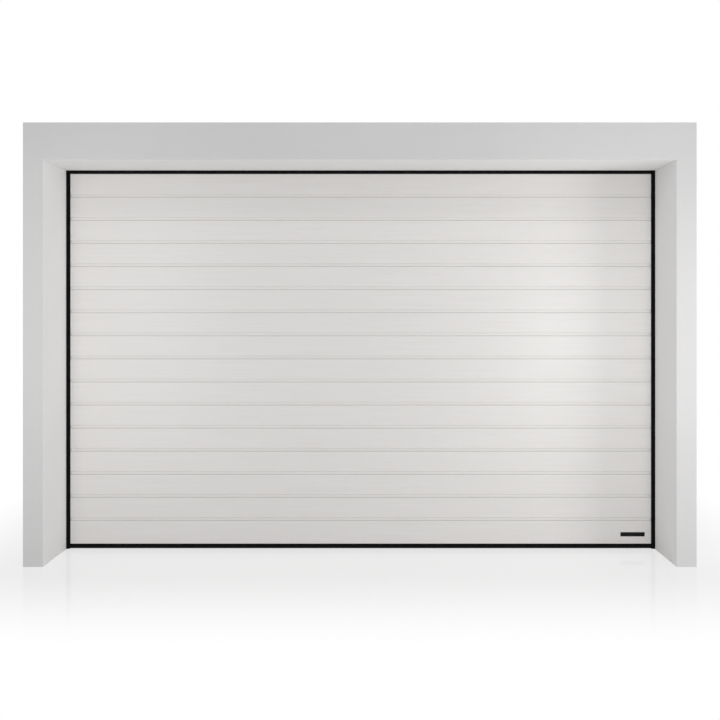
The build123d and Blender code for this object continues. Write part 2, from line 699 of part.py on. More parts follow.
def spring_cones():
    """Fixed cone at the middle bracket and winding cone at the spring's far end."""
    plug = SPRING_INNER_RADIUS - SEAT_GAP
    start = spring_start()
    flange = start - SEAT_GAP
    fixed = round_shaft(
        (flange - CONE_FLANGE, flange, CONE_FLANGE_RADIUS),
        (flange, start + CONE_PLUG, plug),
    )
    end = start + SPRING_LENGTH
    collar = end + SEAT_GAP
    winding = round_shaft(
        (end - CONE_PLUG, collar, plug),
        (collar, collar + CONE_HEAD, CONE_FLANGE_RADIUS),
    )
    return [fixed, winding]


def center_bracket():
    """Foot on the lintel and an upright web with the shaft's middle bearing."""
    high = PORTAL_HEIGHT - CENTER_FOOT_DROP
    low = high - CENTER_FOOT_HEIGHT
    foot_back = WALL_BACK + CENTER_FOOT_SHEET
    half = CENTER_FOOT_WIDTH / 2
    foot = block((-half, half), (WALL_BACK, foot_back), (low, high))
    web = outline(
        (foot_back, low), (foot_back, high),
        (SHAFT_Y, SHAFT_Z + BEARING_RADIUS), (SHAFT_Y + BEARING_RADIUS, SHAFT_Z),
    )
    web += Pos(SHAFT_Y, SHAFT_Z) * Circle(BEARING_RADIUS)
    web -= Pos(SHAFT_Y, SHAFT_Z) * Circle(SHAFT_HOLE)
    return foot + along_x(web, -CENTER_WEB / 2, CENTER_WEB / 2)


def end_bearing_plate():
    """Plate on the post's head with the shaft's end bearing."""
    back = SHAFT_Y + END_PLATE_FRONT
    low = SHAFT_Z - END_PLATE_DROP
    high = SHAFT_Z + END_PLATE_RISE
    start = TRACK_OUTER_X + END_PLATE_GAP
    end = start + END_PLATE_SHEET
    plate = outline(
        (POST_BACK, low), (SHAFT_Y, low), (back, SHAFT_Z - END_PLATE_RISE), (back, high), (POST_BACK, high)
    )
    bearing = Pos(SHAFT_Y, SHAFT_Z) * Circle(BEARING_RADIUS)
    flange_x = (end, POST_LEG_X - FRAME_SHEET)
    piece = along_x(plate, start, end) + along_x(bearing, start - END_BOSS, start)
    piece += block(flange_x, (POST_BACK, POST_BACK + END_PLATE_SHEET), (low, high))
    shaft_hole = Pos(SHAFT_Y, SHAFT_Z) * Circle(SHAFT_HOLE)
    return piece - along_x(shaft_hole, start - END_BOSS, end)


def cable_drum():
    """Drum between two flanges that carries the cable, with a hub up to the end bearing."""
    floor = DRUM_RADIUS - CABLE_RADIUS - CABLE_FIT
    start = CABLE_X - DRUM_BARREL / 2
    end = CABLE_X + DRUM_BARREL / 2
    hub_end = TRACK_OUTER_X + END_PLATE_GAP - END_BOSS - SEAT_GAP
    return round_shaft(
        (start - DRUM_FLANGE, start, DRUM_RIM_RADIUS),
        (start, end, floor),
        (end, end + DRUM_FLANGE, DRUM_FLANGE_RADIUS),
        (end + DRUM_FLANGE, hub_end, DRUM_HUB_RADIUS),
    )


def lift_cable():
    """Tight cable from the drum to its eye round the bottom bracket's pin."""
    foot = CABLE_PIN_Z + CABLE_EYE_RADIUS - CABLE_RADIUS
    cable = along_z(Pos(CABLE_X, CABLE_Y) * small_round(CABLE_RADIUS), foot, SHAFT_Z)
    cable += along_z(Pos(CABLE_X, CABLE_Y) * small_round(FERRULE_RADIUS), foot, foot + FERRULE_LENGTH)
    half = CABLE_EYE_WIDTH / 2
    eye = rod(CABLE_EYE_RADIUS, CABLE_X - half, CABLE_X + half, CABLE_Y, CABLE_PIN_Z)
    eye -= rod(CABLE_PIN_RADIUS + SEAT_GAP, CABLE_X - half, CABLE_X + half, CABLE_Y, CABLE_PIN_Z)
    return cable + eye


def main():
    os.makedirs("parts", exist_ok=True)

    save("portal_lintel", [portal_lintel()])
    save_sides("portal_jamb", [portal_jamb()])
    save_sides("frame_post", [frame_post()])
    save("frame_header", [frame_header()])
    save_sides("side_seal", [side_seal()])
    save("top_seal", [top_seal()])

    for index in range(SECTION_COUNT):
        save(f"section_{index + 1}", [section(index)])
    save_sides("end_caps", end_caps())
    save("bottom_rail", [bottom_rail()])
    save("bottom_seal", [bottom_seal()])

    lower, upper = center_hinges()
    save("center_hinge_lower_leaves", lower)
    save("center_hinge_upper_leaves", upper)
    save_sides("end_hinges", end_hinges())
    save_both("bottom_brackets", [bottom_bracket()])
    save_both("top_brackets", [top_bracket()])
    save_sides("rollers", [roller(height) for height in roller_heights()])
    save_sides("roller_axles", [axle(height) for height in roller_heights()])

    save_sides("vertical_track", [vertical_track()])
    save_sides("track_curve", [track_curve()])
    save_sides("horizontal_track", [horizontal_track()])
    save_sides("track_brackets", track_brackets())
    save_both("flag_brackets", [flag_bracket()])
    save_sides("track_stiffener", [track_stiffener()])
    save("rear_crossbar", [rear_crossbar()])
    save_sides("rear_hanger", [rear_hanger()])

    save("torsion_shaft", [torsion_shaft()])
    save_sides("torsion_spring", [torsion_spring()])
    save_both("spring_cones", spring_cones())
    save("center_bracket", [center_bracket()])
    save_both("end_bearing_plates", [end_bearing_plate()])
    save_both("cable_drums", [cable_drum()])
    save_sides("lift_cable", [lift_cable()])


main()
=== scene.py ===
import bmesh
import bpy
import json
from math import cos, pi, radians, sin, tau
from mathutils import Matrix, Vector


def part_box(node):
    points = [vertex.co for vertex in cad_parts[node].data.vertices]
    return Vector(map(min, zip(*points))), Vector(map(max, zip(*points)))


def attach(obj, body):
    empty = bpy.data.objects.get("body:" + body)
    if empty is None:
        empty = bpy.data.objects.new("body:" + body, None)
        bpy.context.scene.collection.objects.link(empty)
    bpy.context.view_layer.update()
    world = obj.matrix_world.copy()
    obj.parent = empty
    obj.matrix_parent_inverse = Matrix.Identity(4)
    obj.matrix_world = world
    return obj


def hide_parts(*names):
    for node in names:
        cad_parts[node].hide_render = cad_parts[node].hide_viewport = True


# Sectional garage door: finishes, fasteners, rollers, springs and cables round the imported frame.
# Metres, in the frame's own axes: X to the right, Y into the garage, Z up.

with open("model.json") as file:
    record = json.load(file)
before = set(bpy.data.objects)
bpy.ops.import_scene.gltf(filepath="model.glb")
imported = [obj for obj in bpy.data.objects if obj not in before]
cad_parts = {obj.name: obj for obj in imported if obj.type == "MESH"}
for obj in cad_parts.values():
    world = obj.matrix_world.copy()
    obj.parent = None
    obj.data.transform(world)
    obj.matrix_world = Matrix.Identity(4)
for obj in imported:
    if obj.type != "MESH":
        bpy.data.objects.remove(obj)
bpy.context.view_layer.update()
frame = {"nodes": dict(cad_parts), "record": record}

MM = 0.001


def mm(values):
    """Metres for a number of millimetres, or for lists of such numbers."""
    if isinstance(values, (int, float)):
        return values * MM
    return [mm(value) for value in values]


X_AXIS = Vector((1, 0, 0))
Y_AXIS = Vector((0, 1, 0))
Z_AXIS = Vector((0, 0, 1))
SIDES = ((-1, "left"), (1, "right"))

# Camera, found from the vanishing point of the portal's edges
CAMERA_PLACE = (0.064, -4.275, 1.257)
CAMERA_LENS = 39.3
CAMERA_SHIFT = (-0.0174, -0.0606)

# Shade of the leaf's faces by the lean of their normal, from straight down (-1) to straight up (1):
# painted shade darkens the sloped walls of the grooves, the lower ones more
PAINTED_GROOVE_SHADES = ((-1, 1), (-0.9, 1), (-0.75, 0.98), (-0.6, 0.98), (-0.25, 1),
                 (0.25, 1), (0.6, 0.66), (0.75, 0.66), (0.9, 1), (1, 1))

# Edges
SHARP_ANGLE = radians(35)
WELD = 0.00001
SHEET_EDGE = 0.4 * MM
WALL_EDGE = 2 * MM
LEAF_EDGE = 0.5 * MM
FITTING_EDGE = 0.25 * MM
CASTING_EDGE = 0.2 * MM
NAME_PLATE_EDGE = 0.3 * MM

# Fasteners: washer radius, half width across corners, head height
SCREW = mm((6.2, 4.4, 3.6))
BOLT = mm((8.5, 6.8, 5.5))
ANCHOR = mm((10, 7.6, 6))
WASHER_SHEET = 1.2 * MM
RIVET_RADIUS = 3.6 * MM
RIVET_RISE = 1.2 * MM

# Hinges and brackets
HINGE_SHEET = 2.2 * MM
KNUCKLE_RADIUS = 7 * MM
KNUCKLE_GAP = 0.6 * MM
KNUCKLE_CHAMFER = 0.5 * MM
PIN_RADIUS = 4 * MM
PIN_HEAD = 1.6 * MM
PLATE_CORNER = 7 * MM
HINGE_SCREW_INSET = 12 * MM
HINGE_FIRST_ROW = 22 * MM
SCREW_MARGIN = 11 * MM
BRACKET_SCREW_INSETS = mm((8, 30))
SCREW_CLEAR_OF_AXLE = 20 * MM
CHEEK_SHEET = 2.5 * MM
CHEEK_HALF_HEIGHT = 14 * MM
CHEEK_SPACING = 40 * MM
CHEEK_MARGIN = 11 * MM
CHEEK_CORNER = 8 * MM

# Rollers and axles
RACE_RADIUS = 11 * MM
ROLLER_DISH = 1.6 * MM
BEARING_BORE = 5.6 * MM
AXLE_COLLAR = 8.5 * MM
AXLE_CHAMFER = 0.8 * MM
SNAP_RING_INSET = 17.2 * MM
SNAP_RING_SHEET = 1.2 * MM
SNAP_RING_RISE = 1.6 * MM

# Shaft and springs
SHAFT_WALL = 2.7 * MM
SHAFT_CHAMFER = 0.5 * MM
WIRE_RADIUS = 3.15 * MM
WIRE_OVERLAP = 1.01

# Castings on the shaft: profiles of (distance along the axis, radius), with the bore's radius in mm
SHAFT_FIT = 12.9
FIXED_CONE = mm([(-10.3, SHAFT_FIT), (-10.3, 30), (-9.3, 31), (-1.3, 31), (-0.3, 30),
                 (-0.3, 24.9), (40, 24.4), (42, 20), (42, SHAFT_FIT)])
WINDING_CONE = mm([(-42, SHAFT_FIT), (-42, 20), (-40, 24.4), (0.3, 24.9), (0.3, 30), (1.3, 31), (7, 31),
                   (8, 30), (9, 24), (32, 24), (34, 25.5), (53, 25.5), (55, 24), (55, SHAFT_FIT)])
WINDING_SOCKET = mm([(18, 6.4), (18, 9), (30, 9), (31, 8.4), (31, 6.4)])
SOCKET_FLOOR = mm([(18, 6.4), (22, 6.4)])
SOCKET_PLACE = 21 * MM
CONE_RIB = mm([(7.5, 23.5), (33, 23.5), (33, 25), (7.5, 30)])
CONE_RIB_SHEET = 3 * MM
CONE_BOSS = mm([(24, 8), (27, 8), (28, 7)])
CONE_SCREW = mm([(27, 4.6), (30.5, 4.6), (31, 4)])
CONE_SCREW_PLACE = 44 * MM

DRUM_RIM = mm([(0, SHAFT_FIT), (0, 20), (2, 22), (2, 43), (0, 45), (0, 48), (1, 49), (3, 49), (4, 48)])
DRUM_CREST = 46.3 * MM
DRUM_GROOVE = mm([(-1.7, 46.3), (-0.8, 44.4), (0.8, 44.4), (1.7, 46.3)])
DRUM_GROOVES = 5
DRUM_PITCH = 4 * MM
DRUM_FIRST_GROOVE = 8 * MM
DRUM_CREST_SPAN = mm((4, 28))
DRUM_FLANGE = mm([(28, 52), (29, 53), (31, 53), (32, 52), (32, 42), (20, 40), (20, 23), (32, 22)])
DRUM_HUB = 22 * MM
DRUM_HUB_CHAMFER = 1 * MM
DRUM_RIB = mm([(19, 21), (30.5, 21), (30.5, 41.5), (19, 41.5)])
DRUM_RIB_SHEET = 3.5 * MM
DRUM_RIBS = 6
DRUM_BOSS = mm([(20, 7.5), (23.5, 7.5), (24.5, 6.5)])
DRUM_SCREW = mm([(24, 4.6), (28.5, 4.6), (29, 4)])
DRUM_SCREW_FROM_END = 13 * MM

# Cables and their pins
CABLE_RADIUS = 1.5 * MM
CABLE_LAY = 18 * MM
CABLE_STRANDS = 6
CABLE_EYE_RADIUS = 9 * MM
CABLE_LOOP_RADIUS = 6.6 * MM
CABLE_TURNS = 2
FERRULE_ABOVE_PIN = 19 * MM
FERRULE_HALF_WIDTHS = mm((3, 4.4))
FERRULE_SHARES = ((0, 0.8), (1.5, 1), (16.5, 1), (18, 0.8))
RUN_ABOVE_FERRULE_FOOT = 17 * MM
CABLE_PIN_RADIUS = 4 * MM
CABLE_PIN_HEAD = 5.5 * MM
PEENED_END = 1.5 * MM
PIN_WASHER_RADIUS = 6 * MM
PIN_WASHER_SHEET = 1.2 * MM

# Shaft bearings
CENTER_BEARING_HALF = 6.5 * MM
END_BEARING_HALF = 4.5 * MM
END_PLATE_FROM_TRACK = 7 * MM
END_BEARING_FROM_PLATE = 2 * MM
END_PLATE_BOLTS = mm([(-10, 24), (-10, -34), (84, 14)])
CENTER_BRACKET_SHEET = 3 * MM
CENTER_BOLT_HEIGHTS = mm((18, 82))
CENTER_BOLT_COLUMNS = mm((-22, 22))

# Frame and tracks: sheets and the places of bolts
FRAME_SHEET = 2 * MM
BRACKET_SHEET = 2.5 * MM
CURVE_RADIUS = 300 * MM
POST_ANCHORS = mm((110, 520, 1010, 1500, 1990, 2160))
HEADER_ANCHORS = mm((-1450, -970, -480, 0, 480, 970, 1450))
HEADER_ANCHOR_BELOW_TOP = 22 * MM
TRACK_BOLT_Y = 33 * MM
POST_BOLT_Y = 58 * MM
FLAG_BOLTS = mm([(33, 1862), (58, 1862), (33, 1925)])
FLAG_BOLT_ANGLES = (radians(16), radians(36))
FLAG_POST_BOLTS = mm((1870, 2090))
STIFFENER_BOLTS = (0.03, 0.25, 0.48, 0.7, 0.985)
CROSSBAR_BOLT_INSET = 12 * MM
CROSSBAR_BOLT_SPACING = 28 * MM

# Leaf: joint strips, rivets and the name plate's place
JOINT_GAP = 1.6 * MM
JOINT_STRIP_PLAY = 0.05 * MM
JOINT_STRIP_DEPTHS = mm((3.15, 7.4))
JOINT_STRIP_ROUND = 0.2 * MM
CAP_RIVET_SHARES = (0.3, 0.5, 0.7)
CAP_RIVET_INSETS = mm((14, 48))
RAIL_RIVETS = 12
RAIL_RIVET_BELOW_TOP = 14 * MM
NAME_PLATE_X = mm((1406, 1537))
NAME_PLATE_Z = mm((66, 89))
NAME_PLATE_CORNER = 2.5 * MM
NAME_PLATE_SHEET = 1 * MM


# Mesh building

class Shape:
    """Points and faces of one mesh, gathered part by part."""

    def __init__(self):
        self.points = []
        self.faces = []

    def add(self, points, faces):
        start = len(self.points)
        self.points += [Vector(point) for point in points]
        self.faces += [tuple(start + index for index in face) for face in faces]


def ring_faces(rings, sides, closed_start=True, closed_end=True):
    """Quads between rings of points, and a cap on each end that is closed."""
    faces = []
    for ring in range(rings - 1):
        for side in range(sides):
            after = (side + 1) % sides
            low, high = ring * sides, (ring + 1) * sides
            faces.append((low + side, low + after, high + after, high + side))
    if closed_start:
        faces.append(tuple(reversed(range(sides))))
    if closed_end:
        faces.append(tuple(range((rings - 1) * sides, rings * sides)))
    return faces


def across(axis):
    """Two directions at right angles to an axis and to each other."""
    helper = Z_AXIS if abs(axis.z) < 0.9 else X_AXIS
    first = axis.cross(helper).normalized()
    return first, axis.cross(first).normalized()


def ring(center, first, second, radius, sides):
    """Points of a circle in the plane of two directions, from the first towards the second."""
    angles = (tau * side / sides for side in range(sides))
    return [center + (first * cos(angle) + second * sin(angle)) * radius for angle in angles]


def rings_round(origin, axis, profile, sides):
    """A ring of points round an axis for each (distance along the axis, radius) of a profile."""
    first, second = across(axis)
    rings = [ring(origin + axis * along, first, second, radius, sides) for along, radius in profile]
    return sum(rings, [])


def turn(shape, origin, axis, profile, sides=32):
    """Turned part, closed at both ends."""
    shape.add(rings_round(origin, axis, profile, sides), ring_faces(len(profile), sides))


def turn_ring(shape, origin, axis, profile, sides=32):
    """Turned ring: the profile is a closed loop, so that the part has a bore."""
    loop = profile + profile[:1]
    shape.add(rings_round(origin, axis, loop, sides), ring_faces(len(loop), sides, False, False))


def disc(shape, origin, axis, radius, sheet):
    """Flat round washer."""
    turn(shape, origin, axis, [(0, radius), (sheet, radius)], 32)


def chamfered(length, radius, chamfer):
    """Profile of a round bar with chamfered ends."""
    rim = radius - chamfer
    return [(0, rim), (chamfer, radius), (length - chamfer, radius), (length, rim)]


def mirrored(half, middle=()):
    """Profile of a part that is the same at both ends, from its first half."""
    return [*half, *middle, *((-along, radius) for along, radius in reversed(half))]


def walk(path):
    """For each point of a path: the one before it, the point and the direction there."""
    for before, point, after in zip(path[:1] + path, path, path[1:] + path[-1:]):
        yield before, point, (after - before).normalized()


def tube(shape, path, radius, sides):
    """Round bar along a path of points."""
    points = []
    normal = None
    for _, point, ahead in walk(path):
        if normal is None:
            normal = across(ahead)[0]
        normal = (normal - ahead * normal.dot(ahead)).normalized()
        points += ring(point, normal, ahead.cross(normal), radius, sides)
    shape.add(points, ring_faces(len(path), sides))


def prism(shape, outline, origin, first, second, depth):
    """Flat plate: an outline of (first, second) distances, thick along the third direction."""
    thick = first.cross(second).normalized() * depth
    flat = [origin + first * u + second * v for u, v in outline]
    shape.add(flat + [point + thick for point in flat], ring_faces(2, len(outline)))


def rounded(low_u, high_u, low_v, high_v, radius, corners=(1, 1, 1, 1), steps=5):
    """Outline of a rectangle with some of its corners round, from low_u low_v turning left."""
    centers = (
        (low_u + radius, low_v + radius, pi), (high_u - radius, low_v + radius, 1.5 * pi),
        (high_u - radius, high_v - radius, 0), (low_u + radius, high_v - radius, 0.5 * pi),
    )
    sharp = ((low_u, low_v), (high_u, low_v), (high_u, high_v), (low_u, high_v))
    outline = []
    for (u, v, start), corner, is_round in zip(centers, sharp, corners):
        if not is_round:
            outline.append(corner)
            continue
        for step in range(steps + 1):
            angle = start + 0.5 * pi * step / steps
            outline.append((u + radius * cos(angle), v + radius * sin(angle)))
    return outline


def hexagon_head(shape, seat, axis, sizes):
    """Hexagon head with its washer, standing on the seat."""
    washer, half, height = sizes
    turn(shape, seat, axis, [(0, washer), (WASHER_SHEET, washer), (WASHER_SHEET * 1.1, washer * 0.94)], 24)
    head = [(0, half), (height - height * 0.18, half), (height, half * 0.86)]
    turn(shape, seat + axis * WASHER_SHEET, axis, head, 6)


def rivet_head(shape, seat, axis):
    """Domed head of a blind rivet."""
    steps = 5
    angles = [0.5 * pi * step / steps for step in range(steps)]
    turn(shape, seat, axis, [(RIVET_RISE * sin(angle), RIVET_RADIUS * cos(angle)) for angle in angles], 16)


def solid_boxes(node):
    """Lowest and highest corners of each solid in a CAD node, from below upwards."""
    mesh = bmesh.new()
    mesh.from_mesh(frame["nodes"][node].data)
    bmesh.ops.remove_doubles(mesh, verts=mesh.verts, dist=WELD)
    left = set(mesh.verts)
    boxes = []
    while left:
        todo = [left.pop()]
        points = []
        while todo:
            vertex = todo.pop()
            points.append(vertex.co.copy())
            near = {edge.other_vert(vertex) for edge in vertex.link_edges} & left
            left -= near
            todo += near
        low = Vector([min(point[axis] for point in points) for axis in range(3)])
        high = Vector([max(point[axis] for point in points) for axis in range(3)])
        boxes.append((low, high))
    mesh.free()
    return sorted(boxes, key=lambda corners: (round(corners[0].z, 4), corners[0].x))


def outside(node, side):
    """X of a node's outermost face on one side of the door."""
    low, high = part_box(node)
    return high.x if side > 0 else low.x


def on_side(node, side):
    """Corners of the one solid of a node that lies on this side."""
    return [corners for corners in solid_boxes(node) if (corners[0].x + corners[1].x) * side > 0][0]


def piece(name, shape, finish, replaces=(), edge=0):
    """Object of the part from a shape, with its finish and its place in the table."""
    mesh = bpy.data.meshes.new(name)
    mesh.from_pydata(shape.points, [], shape.faces)
    mesh.validate()
    turn_outwards(mesh)
    mesh.shade_smooth()
    mesh.set_sharp_from_angle(angle=SHARP_ANGLE)
    made = bpy.data.objects.new(name, mesh)
    bpy.context.scene.collection.objects.link(made)
    mesh.materials.append(FINISHES[finish])
    if edge:
        soften(made, edge)
    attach(made, "root")
    if replaces:
        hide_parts(*replaces)


def turn_outwards(mesh):
    """Make all faces of each closed part look outwards."""
    work = bmesh.new()
    work.from_mesh(mesh)
    bmesh.ops.recalc_face_normals(work, faces=work.faces)
    work.to_mesh(mesh)
    work.free()


def soften(made, width):
    """Round the sharp edges, so that they catch the light."""
    bevel = made.modifiers.new("edges", "BEVEL")
    bevel.width = width
    bevel.segments = 2
    bevel.limit_method = "ANGLE"
    bevel.angle_limit = SHARP_ANGLE
    bevel.use_clamp_overlap = True


# Finishes

class Tree:
    """Node tree of a material or of the world."""

    def __init__(self, owner):
        owner.use_nodes = True
        self.nodes = owner.node_tree.nodes
        self.links = owner.node_tree.links

    def node(self, kind, output, inputs, **settings):
        """Output of a new node; each of its inputs gets a value or the output of another node."""
        made = self.nodes.new("ShaderNode" + kind)
        for name, value in settings.items():
            setattr(made, name, value)
        for name, value in inputs.items():
            if isinstance(value, bpy.types.NodeSocket):
                self.links.new(value, made.inputs[name])
            else:
                made.inputs[name].default_value = value
        return made.outputs[output]


class Finish(Tree):
    """Material on a Principled shader, with helpers for its textures."""

    def __init__(self, name, roughness, metallic=0.0):
        self.material = bpy.data.materials.new(name)
        super().__init__(self.material)
        self.shader = self.nodes["Principled BSDF"].inputs
        self.shader["Roughness"].default_value = roughness
        self.shader["Metallic"].default_value = metallic
        self.place = self.node("TexCoord", "Object", {})
        self.last_bump = None

    def stretched(self, scale):
        return self.node("Mapping", "Vector", {"Vector": self.place, "Scale": scale})

    def noise(self, scale, detail=4.0, stretch=(1, 1, 1)):
        inputs = {"Vector": self.stretched(stretch), "Scale": scale, "Detail": detail}
        return self.node("TexNoise", "Fac", inputs)

    def cells(self, scale):
        color = self.node("TexVoronoi", "Color", {"Vector": self.stretched((1, 1, 1)), "Scale": scale})
        return self.node("SeparateColor", "Red", {"Color": color})

    def ranged(self, value, low, high, start=0.3, end=0.7):
        """Number that goes from low to high as the value goes from start to end."""
        inputs = {"Value": value, "From Min": start, "From Max": end, "To Min": low, "To Max": high}
        return self.node("MapRange", "Result", inputs)

    def blend(self, kind, factor, first, second):
        """Blend two colors into the shader's color."""
        inputs = {"Factor": factor, "A": first, "B": second}
        made = self.node("Mix", "Result", inputs, data_type="RGBA", blend_type=kind)
        self.links.new(made, self.shader["Base Color"])

    def color(self, value, dark, light, start=0.3, end=0.7):
        self.blend("MIX", self.ranged(value, 0, 1, start, end), (*dark, 1), (*light, 1))

    def multiply(self, tint, factor):
        """Multiply the color by a tint, as far as the factor goes."""
        self.blend("MULTIPLY", factor, self.shader["Base Color"].links[0].from_socket, tint)

    def normal_part(self, axis):
        """How far the surface's normal points along one axis."""
        return self.node("SeparateXYZ", axis, {0: self.node("NewGeometry", "Normal", {})})

    def paint_slope_shade(self, stops):
        """Multiply the color by a painted shade that depends on how far the normal leans down or up."""
        ramp = self.nodes.new("ShaderNodeValToRGB")
        self.links.new(self.ranged(self.normal_part("Z"), 0, 1, -1, 1), ramp.inputs["Fac"])
        elements = ramp.color_ramp.elements
        inner = [elements.new((lean + 1) / 2) for lean, _ in stops[1:-1]]
        for element, (_, shade) in zip([elements[0], *inner, elements[-1]], stops):
            element.color = (shade, shade, shade, 1)
        self.multiply(ramp.outputs["Color"], 1.0)

    def paint_face_shade(self, axis, start, end, tint):
        """Multiply the color by a tint, used as painted shade, where the normal's size along an axis goes
        from start to end.
        """
        size = self.node("Math", 0, {0: self.normal_part(axis)}, operation="ABSOLUTE")
        self.multiply((*tint, 1), self.ranged(size, 0, 1, start, end))

    def roughness(self, value, low, high):
        self.links.new(self.ranged(value, low, high), self.shader["Roughness"])

    def bump(self, value, distance, strength=1.0):
        """Raise the surface by a distance, on top of the bumps so far."""
        inputs = {"Distance": distance, "Strength": strength, "Height": value}
        if self.last_bump is not None:
            inputs["Normal"] = self.last_bump
        self.last_bump = self.node("Bump", "Normal", inputs)
        self.links.new(self.last_bump, self.shader["Normal"])


def plaster():
    """Smooth render with a fine trowelled grain, white in the doorway and light grey on the faces, the grey
    being painted shade.
    """
    finish = Finish("wall_plaster", 0.85)
    cloud = finish.noise(2.2, 5)
    finish.color(cloud, (0.845, 0.84, 0.84), (0.875, 0.87, 0.868))
    # painted shade: faces looking along Y are darkened, so the reveals and soffit read lighter, as if they
    # got more light
    finish.paint_face_shade("Y", 0.4, 0.8, (0.75, 0.75, 0.75))
    finish.roughness(finish.noise(40), 0.8, 0.92)
    finish.bump(finish.noise(260, 3), 0.12 * MM, 0.5)
    finish.bump(finish.noise(9, 2), 0.6 * MM, 0.25)
    return finish.material


def leaf_coating():
    """Off-white coil coating, embossed with a fine horizontal wood grain."""
    finish = Finish("leaf_coating", 0.4)
    grain = finish.noise(1.0, 5, (4, 4, 330))
    stripes = finish.noise(1.0, 3, (2.2, 2.2, 105))
    finish.color(stripes, (0.741, 0.723, 0.708), (0.776, 0.759, 0.745), 0.25, 0.75)
    # painted shade on the groove walls, darkest on the up-facing lower walls
    finish.paint_slope_shade(PAINTED_GROOVE_SHADES)
    finish.roughness(grain, 0.36, 0.46)
    finish.bump(grain, 0.12 * MM, 0.5)
    return finish.material


def rubber():
    finish = Finish("seal_rubber", 0.75)
    finish.shader["Specular IOR Level"].default_value = 0.03
    finish.color(finish.noise(60, 4), (0.004, 0.004, 0.0045), (0.009, 0.009, 0.0095))
    finish.roughness(finish.noise(25, 3, (0.2, 1, 1)), 0.65, 0.85)
    finish.bump(finish.noise(500, 2), 0.05 * MM, 0.4)
    return finish.material


def galvanised():
    """Hot-dip zinc with its spangle, and a little rolling grain."""
    finish = Finish("galvanised_steel", 0.42, 1.0)
    spangle = finish.cells(85)
    finish.color(spangle, (0.50, 0.515, 0.53), (0.66, 0.675, 0.69), 0.0, 1.0)
    finish.roughness(spangle, 0.34, 0.5)
    finish.bump(finish.noise(18, 3), 0.3 * MM, 0.2)
    finish.bump(finish.noise(600, 2), 0.02 * MM, 0.4)
    return finish.material


def rail_aluminium():
    """Extrusion with drawing lines along its length."""
    finish = Finish("rail_aluminium", 0.34, 1.0)
    lines = finish.noise(1.0, 4, (2, 900, 900))
    finish.color(lines, (0.66, 0.67, 0.68), (0.78, 0.79, 0.80))
    finish.roughness(lines, 0.28, 0.42)
    finish.bump(lines, 0.03 * MM, 0.5)
    return finish.material


def black_plate():
    """Anodised black sheet with a faint brushed grain."""
    finish = Finish("plate_black", 0.36)
    finish.shader["Specular IOR Level"].default_value = 0.06
    lines = finish.noise(1.0, 3, (40, 40, 2500))
    finish.color(lines, (0.008, 0.008, 0.009), (0.016, 0.016, 0.017))
    finish.roughness(lines, 0.3, 0.44)
    finish.bump(lines, 0.02 * MM, 0.5)
    return finish.material


# Finishes with a noise of their own for the tint, for the roughness and for the grain:
# roughness, metallic; scale, detail, dark, light; scale, detail, low, high; scale, detail, depth, strength
SKINS = {
    "zinc_plate": (0.32, 1.0, (45, 5, (0.56, 0.57, 0.56), (0.70, 0.71, 0.69)),
                   (120, 4, 0.26, 0.42), (900, 2, 0.02 * MM, 0.4)),
    "bright_zinc": (0.32, 1.0, (45, 5, (0.62, 0.62, 0.60), (0.78, 0.78, 0.76)),
                    (120, 4, 0.26, 0.42), (900, 2, 0.02 * MM, 0.4)),
    # oil-tempered wire: dark, with a slight brown bloom
    "spring_steel": (0.38, 0.85, (35, 5, (0.075, 0.070, 0.066), (0.16, 0.152, 0.145)),
                     (90, 4, 0.3, 0.48), (700, 2, 0.02 * MM, 0.4)),
    "cable_wire": (0.4, 1.0, (200, 4, (0.38, 0.385, 0.39), (0.58, 0.585, 0.59)),
                   (150, 3, 0.32, 0.5), None),
    # die casting with a sandy skin
    "cast_aluminium": (0.5, 1.0, (50, 5, (0.52, 0.525, 0.53), (0.66, 0.665, 0.67)),
                       (140, 4, 0.42, 0.62), (420, 3, 0.12 * MM, 0.5)),
    "roller_nylon": (0.42, 0.0, (30, 4, (0.74, 0.73, 0.68), (0.82, 0.81, 0.77)),
                     (110, 3, 0.36, 0.5), (800, 2, 0.02 * MM, 0.5)),
}


def skin(name):
    """Finish from its row in the table."""
    roughness, metallic, tint, gloss, grain = SKINS[name]
    finish = Finish(name, roughness, metallic)
    scale, detail, dark, light = tint
    finish.color(finish.noise(scale, detail), dark, light)
    scale, detail, low, high = gloss
    finish.roughness(finish.noise(scale, detail), low, high)
    if grain:
        scale, detail, depth, strength = grain
        finish.bump(finish.noise(scale, detail), depth, strength)
    return finish.material


FINISHES = {
    "wall_plaster": plaster(),
    "leaf_coating": leaf_coating(),
    "seal_rubber": rubber(),
    "galvanised_steel": galvanised(),
    "rail_aluminium": rail_aluminium(),
    "plate_black": black_plate(),
    **{name: skin(name) for name in SKINS},
}


def dress_nodes():
    """Give every CAD node its finish, and soften the edges of walls, leaf and folded sheet."""
    slots = {entry["node"]: entry["material_slot"] for entry in frame["record"]["subparts"]}
    edges = {"wall_plaster": WALL_EDGE, "leaf_coating": LEAF_EDGE, "galvanised_steel": SHEET_EDGE}
    for name, node in frame["nodes"].items():
        slot = slots[name]
        node.data.materials.clear()
        node.data.materials.append(FINISHES[slot])
        if slot in edges:
            soften(node, edges[slot])


# Hinges, brackets and rollers

